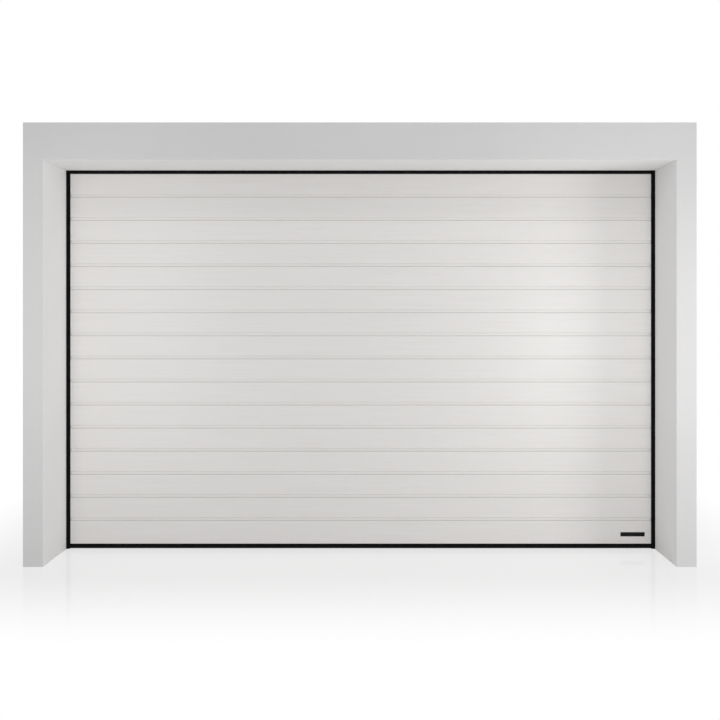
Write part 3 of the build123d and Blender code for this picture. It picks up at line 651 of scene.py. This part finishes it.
def hinge_half(plates, screws, low, high, spans, direction, axis_y, axis_z):
    """Plate on the leaf with its knuckles: direction -1 hangs below the axis, 1 stands above."""
    seat = low.y + HINGE_SHEET
    far = (high.z - axis_z) if direction > 0 else (axis_z - low.z)
    corners = (0, 0, 1, 1) if direction > 0 else (1, 1, 0, 0)
    plate = Y_AXIS * seat
    gap = KNUCKLE_RADIUS + KNUCKLE_GAP
    body_low, body_high = sorted((axis_z + direction * gap, axis_z + direction * far))
    outline = rounded(low.x, high.x, body_low, body_high, PLATE_CORNER, corners)
    prism(plates, outline, plate, X_AXIS, Z_AXIS, HINGE_SHEET)
    for start, end in spans:
        strip_low, strip_high = sorted((axis_z, axis_z + direction * (gap + HINGE_SHEET)))
        strip = [(start, strip_low), (end, strip_low), (end, strip_high), (start, strip_high)]
        prism(plates, strip, plate, X_AXIS, Z_AXIS, HINGE_SHEET)
        length = end - start
        barrel = chamfered(length, KNUCKLE_RADIUS, KNUCKLE_CHAMFER)
        turn_ring(plates, Vector((start, axis_y, axis_z)), X_AXIS,
                  [(0, PIN_RADIUS), *barrel, (length, PIN_RADIUS)])
    rows = (axis_z + direction * HINGE_FIRST_ROW, axis_z + direction * (far - SCREW_MARGIN))
    for x in (low.x + HINGE_SCREW_INSET, high.x - HINGE_SCREW_INSET):
        for z in rows:
            hexagon_head(screws, Vector((x, seat, z)), Y_AXIS, SCREW)


def knuckle_spans(low_x, high_x):
    """X ranges of the outer two knuckles and of the middle one."""
    third = (high_x - low_x) / 3
    gap = KNUCKLE_GAP / 2
    outer = [(low_x, low_x + third - gap), (high_x - third + gap, high_x)]
    return outer, [(low_x + third + gap, high_x - third - gap)]


def hinge_pin(pins, low_x, high_x, axis_y, axis_z):
    """Pin with a domed head at one end and a peened end at the other."""
    length = high_x - low_x
    step = 0.01 * MM
    turn(pins, Vector((low_x, axis_y, axis_z)), X_AXIS, [
        (-PIN_HEAD, PIN_RADIUS * 0.5), (-PIN_HEAD * 0.8, PIN_RADIUS * 1.15), (0, PIN_RADIUS * 1.35),
        (step, PIN_RADIUS), (length, PIN_RADIUS), (length + step, PIN_RADIUS * 1.2),
        (length + PIN_HEAD * 0.5, PIN_RADIUS * 0.9),
    ], 24)


def cheek_pair(plates, seat, outer_x, side, axle, low_z):
    """Two upright plates that carry an axle, with a collar round it on each."""
    axle_y, axle_z = axle
    back, high_z = axle_y + CHEEK_MARGIN, axle_z + CHEEK_HALF_HEIGHT
    outline = rounded(seat, back, low_z, high_z, CHEEK_CORNER, (0, 1, 1, 0))
    for x in (outer_x, outer_x - side * CHEEK_SPACING):
        face = X_AXIS * x
        prism(plates, outline, face, Y_AXIS, Z_AXIS, -side * CHEEK_SHEET)
        for toward in (1, -1):
            rim = face if toward == side else face - X_AXIS * side * CHEEK_SHEET
            turn(plates, Vector((rim.x, axle_y, axle_z)), X_AXIS * toward,
                 [(0, AXLE_COLLAR), (0.5 * MM, AXLE_COLLAR), (0.8 * MM, AXLE_COLLAR * 0.9)], 32)


def axle_places(side_name):
    """Middle line (y, z) of each axle of a side, from below."""
    boxes = solid_boxes(f"roller_axles_{side_name}")
    return [((low.y + high.y) / 2, (low.z + high.z) / 2) for low, high in boxes]


def center_hinges():
    """Hinges between the sections, away from the edges of the leaf."""
    lowers, uppers, screws, pins = Shape(), Shape(), Shape(), Shape()
    for low, high in solid_boxes("center_hinge_lower_leaves"):
        axis_y, axis_z = high.y - KNUCKLE_RADIUS, high.z - KNUCKLE_RADIUS
        hinge_half(lowers, screws, low, high, knuckle_spans(low.x, high.x)[0], -1, axis_y, axis_z)
        hinge_pin(pins, low.x, high.x, axis_y, axis_z)
    for low, high in solid_boxes("center_hinge_upper_leaves"):
        axis_y, axis_z = high.y - KNUCKLE_RADIUS, low.z + KNUCKLE_RADIUS
        hinge_half(uppers, screws, low, high, knuckle_spans(low.x, high.x)[1], 1, axis_y, axis_z)
    for level, plates in (("lower", lowers), ("upper", uppers)):
        nodes = [f"center_hinge_{level}_leaves"]
        piece(f"hinge_{level}_leaves", plates, "zinc_plate", nodes, FITTING_EDGE)
    piece("hinge_pins", pins, "bright_zinc")
    piece("hinge_screws", screws, "bright_zinc")


def end_hinges(side, side_name):
    """End hinges, whose upper leaves carry the roller axles between two cheeks."""
    plates, screws, pins = Shape(), Shape(), Shape()
    node = f"end_hinges_{side_name}"
    boxes = solid_boxes(node)
    for (low, high), upper, axle in zip(boxes[0::2], boxes[1::2], axle_places(side_name)[1:]):
        axis_y, axis_z = high.y - KNUCKLE_RADIUS, high.z - KNUCKLE_RADIUS
        outer, middle = knuckle_spans(low.x, high.x)
        hinge_half(plates, screws, low, high, outer, -1, axis_y, axis_z)
        hinge_pin(pins, low.x, high.x, axis_y, axis_z)
        hinge_half(plates, screws, *upper, middle, 1, axis_y, axis_z)
        cheek_pair(plates, low.y, high.x if side > 0 else low.x, side, axle, axle[1] - CHEEK_HALF_HEIGHT)
    piece(f"roller_hinges_{side_name}", plates, "zinc_plate", [node], FITTING_EDGE)
    piece(f"roller_hinge_pins_{side_name}", pins, "bright_zinc")
    piece(f"roller_hinge_screws_{side_name}", screws, "bright_zinc")


def roller(tread, bearing, center, half, radius):
    """Nylon wheel with a crowned tread and dished sides, on a shielded ball bearing."""
    dish = -half + ROLLER_DISH
    flank = [
        (-half, RACE_RADIUS), (-half, RACE_RADIUS + 2 * MM), (dish, RACE_RADIUS + 3 * MM),
        (dish, radius - 5.5 * MM), (-half, radius - 4 * MM), (-half + 0.8 * MM, radius - 2.2 * MM),
        (-half * 0.55, radius - 0.35 * MM),
    ]
    turn_ring(tread, center, X_AXIS, mirrored(flank, [(0, radius)]), 48)
    rim, shield = -half + 0.6 * MM, -half + 1.4 * MM
    face = [
        (rim, BEARING_BORE), (rim, BEARING_BORE + 1.6 * MM), (shield, BEARING_BORE + 1.8 * MM),
        (shield, RACE_RADIUS - 1.6 * MM), (rim, RACE_RADIUS - 1.4 * MM), (rim, RACE_RADIUS),
    ]
    turn_ring(bearing, center, X_AXIS, mirrored(face), 32)


def rollers(side_name):
    tread, bearing = Shape(), Shape()
    node = f"rollers_{side_name}"
    for low, high in solid_boxes(node):
        center = (low + high) / 2
        roller(tread, bearing, center, (high.x - low.x) / 2, (high.z - low.z) / 2)
    piece(f"roller_wheels_{side_name}", tread, "roller_nylon", [node])
    piece(f"roller_bearings_{side_name}", bearing, "bright_zinc")


def axles(side, side_name):
    """Round axles with chamfered ends and a snap ring beside the wheel."""
    shape = Shape()
    node = f"roller_axles_{side_name}"
    for low, high in solid_boxes(node):
        radius = (high.y - low.y) / 2
        start = Vector((low.x, (low.y + high.y) / 2, (low.z + high.z) / 2))
        turn(shape, start, X_AXIS, chamfered(high.x - low.x, radius, AXLE_CHAMFER), 32)
        ring_x = (high.x if side > 0 else low.x) - side * SNAP_RING_INSET
        ring_start = Vector((ring_x, start.y, start.z))
        disc(shape, ring_start, -X_AXIS * side, radius + SNAP_RING_RISE, SNAP_RING_SHEET)
    piece(f"axles_{side_name}", shape, "bright_zinc", [node])


def edge_brackets():
    """Bottom corner brackets and top brackets, each with two cheeks for a roller axle."""
    plates, screws = Shape(), Shape()
    for side, side_name in SIDES:
        axle_list = axle_places(side_name)
        outer_x = outside(f"end_hinges_{side_name}", side)
        for node, axle in (("bottom_brackets", axle_list[0]), ("top_brackets", axle_list[-1])):
            low, high = on_side(node, side)
            inner_x = low.x if side > 0 else high.x
            plate_low, cheek_low = low.z, axle[1] - CHEEK_HALF_HEIGHT
            if node == "bottom_brackets":
                plate_low, cheek_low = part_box(f"end_caps_{side_name}")[0].z, low.z
            outline = rounded(*sorted((inner_x, outer_x)), plate_low, high.z, PLATE_CORNER)
            front = low.y + HINGE_SHEET
            prism(plates, outline, Y_AXIS * front, X_AXIS, Z_AXIS, HINGE_SHEET)
            cheek_pair(plates, low.y, outer_x, side, axle, cheek_low)
            for inset in BRACKET_SCREW_INSETS:
                for z in (plate_low + SCREW_MARGIN, high.z - SCREW_MARGIN):
                    if abs(z - axle[1]) > SCREW_CLEAR_OF_AXLE:
                        hexagon_head(screws, Vector((inner_x + side * inset, front, z)), Y_AXIS, SCREW)
    nodes = ["bottom_brackets", "top_brackets"]
    piece("edge_brackets", plates, "zinc_plate", nodes, FITTING_EDGE)
    piece("edge_bracket_screws", screws, "bright_zinc")


def cable_pins():
    """Pins of the bottom brackets that hold the cables, with a head, a washer and a peened end."""
    pins = Shape()
    for side, side_name in SIDES:
        cheek_inside = outside(f"end_hinges_{side_name}", side) - side * CHEEK_SHEET
        low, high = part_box(f"lift_cable_{side_name}")
        place = Vector((0, (low.y + high.y) / 2, low.z + CABLE_EYE_RADIUS))
        start = place + X_AXIS * (cheek_inside - side * PEENED_END)
        length = abs(outside("bottom_brackets", side) - start.x)
        peened = CABLE_PIN_HEAD - 0.5 * MM
        turn(pins, start, X_AXIS * side, [
            (0, CABLE_PIN_RADIUS * 0.8), (0.5 * MM, peened), (PEENED_END, peened),
            (PEENED_END, CABLE_PIN_RADIUS), (length - 1.6 * MM, CABLE_PIN_RADIUS),
            (length - 1.5 * MM, CABLE_PIN_HEAD), (length - 0.5 * MM, CABLE_PIN_HEAD),
            (length, CABLE_PIN_HEAD - 0.9 * MM),
        ], 32)
        washer = place + X_AXIS * ((low.x + high.x) / 2 - side * PIN_WASHER_RADIUS)
        disc(pins, washer, X_AXIS * side, PIN_WASHER_RADIUS, PIN_WASHER_SHEET)
    piece("cable_pins", pins, "bright_zinc")


# Counterbalance

def shaft_line():
    low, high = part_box("torsion_shaft")
    return Vector((0, (low.y + high.y) / 2, (low.z + high.z) / 2))


def shaft():
    """Drawn steel tube with clean cut ends."""
    low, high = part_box("torsion_shaft")
    radius = (high.z - low.z) / 2
    bore = radius - SHAFT_WALL
    length = high.x - low.x
    shape = Shape()
    turn_ring(shape, shaft_line() + X_AXIS * low.x, X_AXIS,
              [(0, bore), *chamfered(length, radius, SHAFT_CHAMFER), (length, bore)], 64)
    piece("shaft_tube", shape, "zinc_plate", ["torsion_shaft"])


def spring(side_name):
    """Close-wound coil, whose turns touch."""
    node = f"torsion_spring_{side_name}"
    low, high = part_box(node)
    center = shaft_line()
    mean = (high.z - low.z) / 2 - WIRE_RADIUS
    start = low.x + WIRE_RADIUS
    length = high.x - low.x - 2 * WIRE_RADIUS
    turns = round(length / (2 * WIRE_RADIUS))
    steps = 30
    path = []
    for index in range(turns * steps + 1):
        angle = tau * index / steps
        x = start + length * index / (turns * steps)
        path.append(Vector((x, center.y + mean * cos(angle), center.z + mean * sin(angle))))
    shape = Shape()
    tube(shape, path, WIRE_RADIUS * WIRE_OVERLAP, 8)
    piece(f"spring_coil_{side_name}", shape, "spring_steel", [node])


def spoke(angle):
    """Direction across the shaft at an angle."""
    return Vector((0, cos(angle), sin(angle)))


def set_screws(castings, screws, spot, boss, screw):
    """Two square set screws on bosses, a quarter turn apart."""
    for angle in (0, pi / 2):
        turn(castings, spot, spoke(angle), boss, 24)
        turn(screws, spot, spoke(angle), screw, 4)


def rib(castings, origin, axis, outward, outline, sheet):
    """Flat rib between a hub and what stands round it."""
    thick = axis.cross(outward).normalized()
    prism(castings, outline, origin - thick * sheet / 2, axis, outward, sheet)


def cones():
    """Fixed and winding cones, with winding sockets, set screws and cast ribs."""
    castings, screws = Shape(), Shape()
    center = shaft_line()
    for side, side_name in SIDES:
        low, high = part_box(f"torsion_spring_{side_name}")
        near, far = (low.x, high.x) if side > 0 else (high.x, low.x)
        axis = X_AXIS * side
        turn_ring(castings, center + X_AXIS * near, axis, FIXED_CONE, 48)
        winding = center + X_AXIS * far
        turn_ring(castings, winding, axis, WINDING_CONE, 48)
        for quarter in range(4):
            angle = tau * quarter / 4 + pi / 4
            socket = winding + axis * SOCKET_PLACE
            turn_ring(castings, socket, spoke(angle), WINDING_SOCKET, 24)
            turn(castings, socket, spoke(angle), SOCKET_FLOOR, 24)
            rib(castings, winding, axis, spoke(angle + pi / 4), CONE_RIB, CONE_RIB_SHEET)
        set_screws(castings, screws, winding + axis * CONE_SCREW_PLACE, CONE_BOSS, CONE_SCREW)
    piece("cone_castings", castings, "cast_aluminium", ["spring_cones"], CASTING_EDGE)
    piece("cone_set_screws", screws, "bright_zinc")


def drum(side, side_name):
    """Grooved drum with ribs between its hub and its rim."""
    low, high = on_side("cable_drums", side)
    axis = X_AXIS * side
    length = high.x - low.x
    start = shaft_line() + X_AXIS * (low.x if side > 0 else high.x)
    crest_start, crest_end = DRUM_CREST_SPAN
    profile = DRUM_RIM + [(crest_start, DRUM_CREST)]
    for groove in range(DRUM_GROOVES):
        valley = DRUM_FIRST_GROOVE + DRUM_PITCH * groove
        profile += [(valley + offset, radius) for offset, radius in DRUM_GROOVE]
    profile += [(crest_end, DRUM_CREST)] + DRUM_FLANGE
    profile += [(length - DRUM_HUB_CHAMFER, DRUM_HUB), (length, DRUM_HUB - DRUM_HUB_CHAMFER),
                (length, SHAFT_FIT * MM)]
    shape, screws = Shape(), Shape()
    turn_ring(shape, start, axis, profile, 64)
    for number in range(DRUM_RIBS):
        rib(shape, start, axis, spoke(tau * number / DRUM_RIBS), DRUM_RIB, DRUM_RIB_SHEET)
    set_screws(shape, screws, start + axis * (length - DRUM_SCREW_FROM_END), DRUM_BOSS, DRUM_SCREW)
    piece(f"drum_casting_{side_name}", shape, "cast_aluminium", ["cable_drums"])
    piece(f"drum_set_screws_{side_name}", screws, "bright_zinc")


def cable(side, side_name):
    """Stranded cable: loop round the pin, ferrule, straight run, and turns on the drum."""
    node = f"lift_cable_{side_name}"
    low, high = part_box(node)
    center = shaft_line()
    x, y = (low.x + high.x) / 2, (low.y + high.y) / 2
    pin_z = low.z + CABLE_EYE_RADIUS
    ferrule_z = pin_z + FERRULE_ABOVE_PIN
    loop, wire, sleeve = Shape(), Shape(), Shape()
    round_pin = []
    for step in range(25):
        angle = -0.5 * pi + tau * step / 24
        round_pin.append(Vector((x, y + CABLE_LOOP_RADIUS * cos(angle),
                                 pin_z + CABLE_LOOP_RADIUS * sin(angle))))
    tube(loop, round_pin, CABLE_RADIUS, 10)
    for edge in (-1, 1):
        neck = [Vector((x, y + edge * CABLE_LOOP_RADIUS * 0.82, pin_z + CABLE_LOOP_RADIUS * 0.6)),
                Vector((x, y + edge * 3.4 * MM, pin_z + 13 * MM)),
                Vector((x, y + edge * CABLE_RADIUS, ferrule_z + 1 * MM))]
        tube(loop, neck, CABLE_RADIUS, 10)
    oval = []
    half_x, half_y = FERRULE_HALF_WIDTHS
    for along, share in FERRULE_SHARES:
        for index in range(24):
            angle = tau * index / 24
            oval.append(Vector((x + half_x * share * cos(angle), y + half_y * share * sin(angle),
                                ferrule_z + along * MM)))
    sleeve.add(oval, ring_faces(len(FERRULE_SHARES), 24))
    foot = ferrule_z + RUN_ABOVE_FERRULE_FOOT
    run = [Vector((x, y, foot + MM * step)) for step in range(int((center.z - foot) / MM))]
    run.append(Vector((x, y, center.z)))
    drum_radius = center.y - y
    steps = 90
    for step in range(1, CABLE_TURNS * steps + 1):
        angle = tau * step / steps
        run.append(Vector((x + side * DRUM_PITCH * step / steps,
                           center.y - drum_radius * cos(angle), center.z + drum_radius * sin(angle))))
    strand_wire(wire, run)
    piece(f"cable_{side_name}", wire, "cable_wire", [node])
    piece(f"cable_loop_{side_name}", loop, "cable_wire")
    piece(f"cable_ferrule_{side_name}", sleeve, "rail_aluminium")


def strand_wire(shape, path):
    """Rope of strands: a lobed section that turns as it runs along the path."""
    sides = CABLE_STRANDS * 3
    points = []
    travelled = 0.0
    for before, point, ahead in walk(path):
        travelled += (point - before).length
        normal = (X_AXIS - ahead * X_AXIS.dot(ahead)).normalized()
        second = ahead.cross(normal)
        twist = tau * travelled / CABLE_LAY
        for side in range(sides):
            angle = tau * side / sides
            radius = CABLE_RADIUS * (0.9 + 0.1 * cos(CABLE_STRANDS * angle))
            points.append(point + (normal * cos(angle + twist) + second * sin(angle + twist)) * radius)
    shape.add(points, ring_faces(len(path), sides))


def bearings():
    """Ball bearings of the middle bracket and of the end plates, with the bolts of these."""
    races, bolts = Shape(), Shape()
    low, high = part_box("center_bracket")
    for height in CENTER_BOLT_HEIGHTS:
        for x in CENTER_BOLT_COLUMNS:
            hexagon_head(bolts, Vector((x, low.y + CENTER_BRACKET_SHEET, low.z + height)), Y_AXIS, ANCHOR)
    center = shaft_line()
    spots = [(center, CENTER_BEARING_HALF)]
    for side, side_name in SIDES:
        plate_x = outside(f"vertical_track_{side_name}", side) + side * END_PLATE_FROM_TRACK
        spots.append((center + X_AXIS * (plate_x + side * END_BEARING_FROM_PLATE), END_BEARING_HALF))
        for y, z in END_PLATE_BOLTS:
            hexagon_head(bolts, Vector((plate_x, y, center.z + z)), X_AXIS * side, BOLT)
    for spot, half in spots:
        shield = -half + 1 * MM
        turn_ring(races, spot, X_AXIS, mirrored([
            (-half, 13 * MM), (-half, 16 * MM), (shield, 16.5 * MM), (shield, 20 * MM),
            (-half, 20.5 * MM), (-half + 0.6 * MM, 23 * MM),
        ]), 48)
    piece("shaft_bearings", races, "bright_zinc")
    piece("bearing_plate_bolts", bolts, "bright_zinc")


# Fasteners of the frame, the tracks and the leaf

def frame_bolts():
    """Anchors of the posts and of the header in the wall."""
    bolts = Shape()
    for side, side_name in SIDES:
        low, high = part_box(f"frame_post_{side_name}")
        for z in POST_ANCHORS:
            hexagon_head(bolts, Vector(((low.x + high.x) / 2, low.y + FRAME_SHEET, z)), Y_AXIS, ANCHOR)
    low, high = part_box("frame_header")
    for x in HEADER_ANCHORS:
        seat = Vector((x, low.y + FRAME_SHEET, high.z - HEADER_ANCHOR_BELOW_TOP))
        hexagon_head(bolts, seat, Y_AXIS, ANCHOR)
    piece("frame_anchors", bolts, "bright_zinc")


def track_bolts():
    """Bolts of the track brackets, flag brackets, stiffeners, hangers and crossbar."""
    bolts = Shape()
    for side, side_name in SIDES:
        track_low, track_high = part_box(f"vertical_track_{side_name}")
        track_y = (track_low.y + track_high.y) / 2
        on_track = outside(f"vertical_track_{side_name}", side) + side * BRACKET_SHEET
        on_post = outside(f"frame_post_{side_name}", side)
        places = []
        for low, high in solid_boxes(f"track_brackets_{side_name}"):
            z = (low.z + high.z) / 2
            places += [(on_track, TRACK_BOLT_Y, z), (on_post, POST_BOLT_Y, z)]
        places += [(on_track, y, z) for y, z in FLAG_BOLTS]
        for angle in FLAG_BOLT_ANGLES:
            y = track_y + CURVE_RADIUS * (1 - cos(angle))
            places.append((on_track, y, track_high.z + CURVE_RADIUS * sin(angle)))
        places += [(on_post, POST_BOLT_Y, z) for z in FLAG_POST_BOLTS]
        low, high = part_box(f"track_stiffener_{side_name}")
        middle = (low.z + high.z) / 2
        places += [(on_track, low.y + (high.y - low.y) * share, middle) for share in STIFFENER_BOLTS]
        low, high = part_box(f"rear_hanger_{side_name}")
        places.append((on_track + side * BRACKET_SHEET, (low.y + high.y) / 2, middle))
        for place in places:
            hexagon_head(bolts, Vector(place), X_AXIS * side, BOLT)
        low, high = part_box("rear_crossbar")
        x = outside("rear_crossbar", side) - side * CROSSBAR_BOLT_INSET
        for edge in (-0.5, 0.5):
            z = middle + edge * CROSSBAR_BOLT_SPACING
            hexagon_head(bolts, Vector((x, low.y + BRACKET_SHEET, z)), Y_AXIS, BOLT)
    piece("track_bolts", bolts, "bright_zinc")


def leaf_rivets():
    """Blind rivets of the end caps and of the bottom rail."""
    rivets = Shape()
    for side, side_name in SIDES:
        for low, high in solid_boxes(f"end_caps_{side_name}"):
            for share in CAP_RIVET_SHARES:
                z = low.z + (high.z - low.z) * share
                for inset in CAP_RIVET_INSETS:
                    x = (high.x - inset) if side > 0 else (low.x + inset)
                    rivet_head(rivets, Vector((x, high.y, z)), Y_AXIS)
    low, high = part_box("bottom_rail")
    for index in range(RAIL_RIVETS):
        x = low.x + (high.x - low.x) * (index + 0.5) / RAIL_RIVETS
        rivet_head(rivets, Vector((x, high.y, high.z - RAIL_RIVET_BELOW_TOP)), Y_AXIS)
    piece("leaf_rivets", rivets, "rail_aluminium")


def joint_strips():
    """Light strip that closes each joint between two sections."""
    shape = Shape()
    for number in (2, 3, 4):
        low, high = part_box(f"section_{number}")
        middle = low.z - JOINT_GAP / 2
        half = JOINT_GAP / 2 - JOINT_STRIP_PLAY
        front, back = (low.y + depth for depth in JOINT_STRIP_DEPTHS)
        outline = rounded(front, back, middle - half, middle + half, JOINT_STRIP_ROUND, (1, 0, 0, 1))
        prism(shape, outline, X_AXIS * low.x, Y_AXIS, Z_AXIS, high.x - low.x)
    piece("joint_strips", shape, "leaf_coating")


def name_plate():
    """Small bare plate on the lower right of the leaf, with rounded corners."""
    shape = Shape()
    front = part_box("section_1")[0].y
    outline = rounded(*NAME_PLATE_X, *NAME_PLATE_Z, NAME_PLATE_CORNER)
    prism(shape, outline, Y_AXIS * front, X_AXIS, Z_AXIS, NAME_PLATE_SHEET)
    piece("plate", shape, "plate_black", edge=NAME_PLATE_EDGE)


# Studio

FLOOR_HALF = 40
FLOOR_DROP = 0.5 * MM
FLOOR_GREY = (0.85, 0.85, 0.85, 1)
FLOOR_ROUGHNESS = 0.06
FLOOR_GLOSS = 0.3
FLOOR_WHITE = 0.64
FLOOR_FADES = (("X", 1.7, 2.5), ("X", -1.7, -2.5), ("Y", -0.4, -1.35), ("Y", 2.3, 3.6))
WORLD_LIGHT = 0.53

# Lamps: name, place, target, size, power in watts, and whether shiny surfaces of the door mirror it
LAMPS = (
    ("near_right", (1.55, -1.7, 1.1), (1.25, 0, 1.05), (0.6, 1.0), 7.7, True),
    ("near_left", (-1.6, -1.6, 1.2), (-1.4, 0, 1.15), (0.6, 1.9), 7.0, True),
    ("wide_right", (4.4, -2.6, 1.2), (-1.4, -0.2, 1.1), (1.4, 2.2), 45, False),
    ("low_front", (0, -2.4, 0.15), (0, 0, 2.2), (4.5, 0.8), 9.2, True),
    ("high_front", (0.3, -1.9, 3.3), (0.3, -0.33, 2.14), (3.0, 0.4), 6.8, False),
    ("back_top", (0, 5.5, 4.5), (0, 0.5, 1.3), (5.0, 2.5), 120, False),
)


class StudioTree(Tree):
    """Node tree of the floor or of the world, which lights otherwise than it looks."""

    def __init__(self, owner, output):
        super().__init__(owner)
        self.nodes.clear()
        self.surface = self.nodes.new("ShaderNode" + output).inputs["Surface"]

    def mixed(self, factor, first, second):
        return self.node("MixShader", 0, {0: factor, 1: first, 2: second})

    def largest(self, values):
        result = values[0]
        for value in values[1:]:
            result = self.node("Math", 0, {0: result, 1: value}, operation="MAXIMUM")
        return result

    def show(self, lighting, seen):
        """The seen shader for rays from the camera, from gloss and through glass, else the lighting one."""
        path = self.nodes.new("ShaderNodeLightPath").outputs
        rays = [path[ray] for ray in ("Is Camera Ray", "Is Glossy Ray", "Is Transmission Ray")]
        self.links.new(self.mixed(self.largest(rays), lighting, seen), self.surface)


def studio_floor():
    """White floor that keeps the shadow and a faint reflection, and fades to plain white."""
    mesh = bpy.data.meshes.new("floor")
    corners = [(-1, -1), (1, -1), (1, 1), (-1, 1)]
    mesh.from_pydata([(x * FLOOR_HALF, y * FLOOR_HALF, 0) for x, y in corners], [], [(0, 1, 2, 3)])
    floor = bpy.data.objects.new("floor", mesh)
    bpy.context.scene.collection.objects.link(floor)
    floor.location.z = -FLOOR_DROP
    material = bpy.data.materials.new("studio_floor")
    tree = StudioTree(material, "OutputMaterial")
    diffuse = tree.node("BsdfDiffuse", 0, {"Color": FLOOR_GREY})
    gloss = tree.node("BsdfGlossy", 0, {"Roughness": FLOOR_ROUGHNESS})
    white = tree.node("Emission", 0, {})
    shadowed = tree.mixed(FLOOR_WHITE, tree.mixed(FLOOR_GLOSS, diffuse, gloss), white)
    place = tree.node("TexCoord", "Object", {})
    fades = []
    for axis, near, far in FLOOR_FADES:
        along = tree.node("SeparateXYZ", axis, {0: place})
        inputs = {"Value": along, "From Min": near, "From Max": far}
        fades.append(tree.node("MapRange", "Result", inputs, interpolation_type="SMOOTHSTEP"))
    tree.show(diffuse, tree.mixed(tree.largest(fades), shadowed, white))
    mesh.materials.append(material)
    return floor


def studio_world():
    """White for what is seen directly, and a soft even light on the object."""
    world = bpy.data.worlds.new("studio")
    bpy.context.scene.world = world
    tree = StudioTree(world, "OutputWorld")
    shaders = [tree.node("Background", 0, {"Color": (1, 1, 1, 1), "Strength": strength})
               for strength in (WORLD_LIGHT, 1.0)]
    tree.show(*shaders)


def soft_box(name, place, target, size, power):
    """Large soft lamp that no camera sees."""
    lamp = bpy.data.lights.new(name, "AREA")
    lamp.shape = "RECTANGLE"
    lamp.size, lamp.size_y = size
    lamp.energy = power
    made = bpy.data.objects.new(name, lamp)
    bpy.context.scene.collection.objects.link(made)
    made.location = place
    made.rotation_mode = "QUATERNION"
    made.rotation_quaternion = (Vector(target) - Vector(place)).to_track_quat("-Z", "Y")
    made.visible_camera = False
    return made


def studio():
    """Floor, white world, lamps and camera; a lamp that the door mirrors doesn't light the floor."""
    all_but_floor = bpy.data.collections.new("all_but_floor")
    all_but_floor.objects.link(studio_floor())
    all_but_floor.collection_objects[0].light_linking.link_state = "EXCLUDE"
    studio_world()
    for *lamp, in_mirror in LAMPS:
        made = soft_box(*lamp)
        made.visible_glossy = in_mirror
        if in_mirror:
            made.light_linking.receiver_collection = all_but_floor
    data = bpy.data.cameras.new("camera")
    data.lens = CAMERA_LENS
    data.sensor_width = 36
    data.shift_x, data.shift_y = CAMERA_SHIFT
    camera = bpy.data.objects.new("camera", data)
    camera.location = CAMERA_PLACE
    camera.rotation_euler = (pi / 2, 0, 0)
    bpy.context.scene.collection.objects.link(camera)
    bpy.context.scene.camera = camera


def main():
    bpy.context.scene.view_settings.view_transform = "Standard"
    studio()
    dress_nodes()
    center_hinges()
    edge_brackets()
    cable_pins()
    for side, side_name in SIDES:
        end_hinges(side, side_name)
        rollers(side_name)
        axles(side, side_name)
        spring(side_name)
        drum(side, side_name)
        cable(side, side_name)
    shaft()
    cones()
    bearings()
    frame_bolts()
    track_bolts()
    leaf_rivets()
    joint_strips()
    name_plate()


main()
bpy.context.view_layer.update()
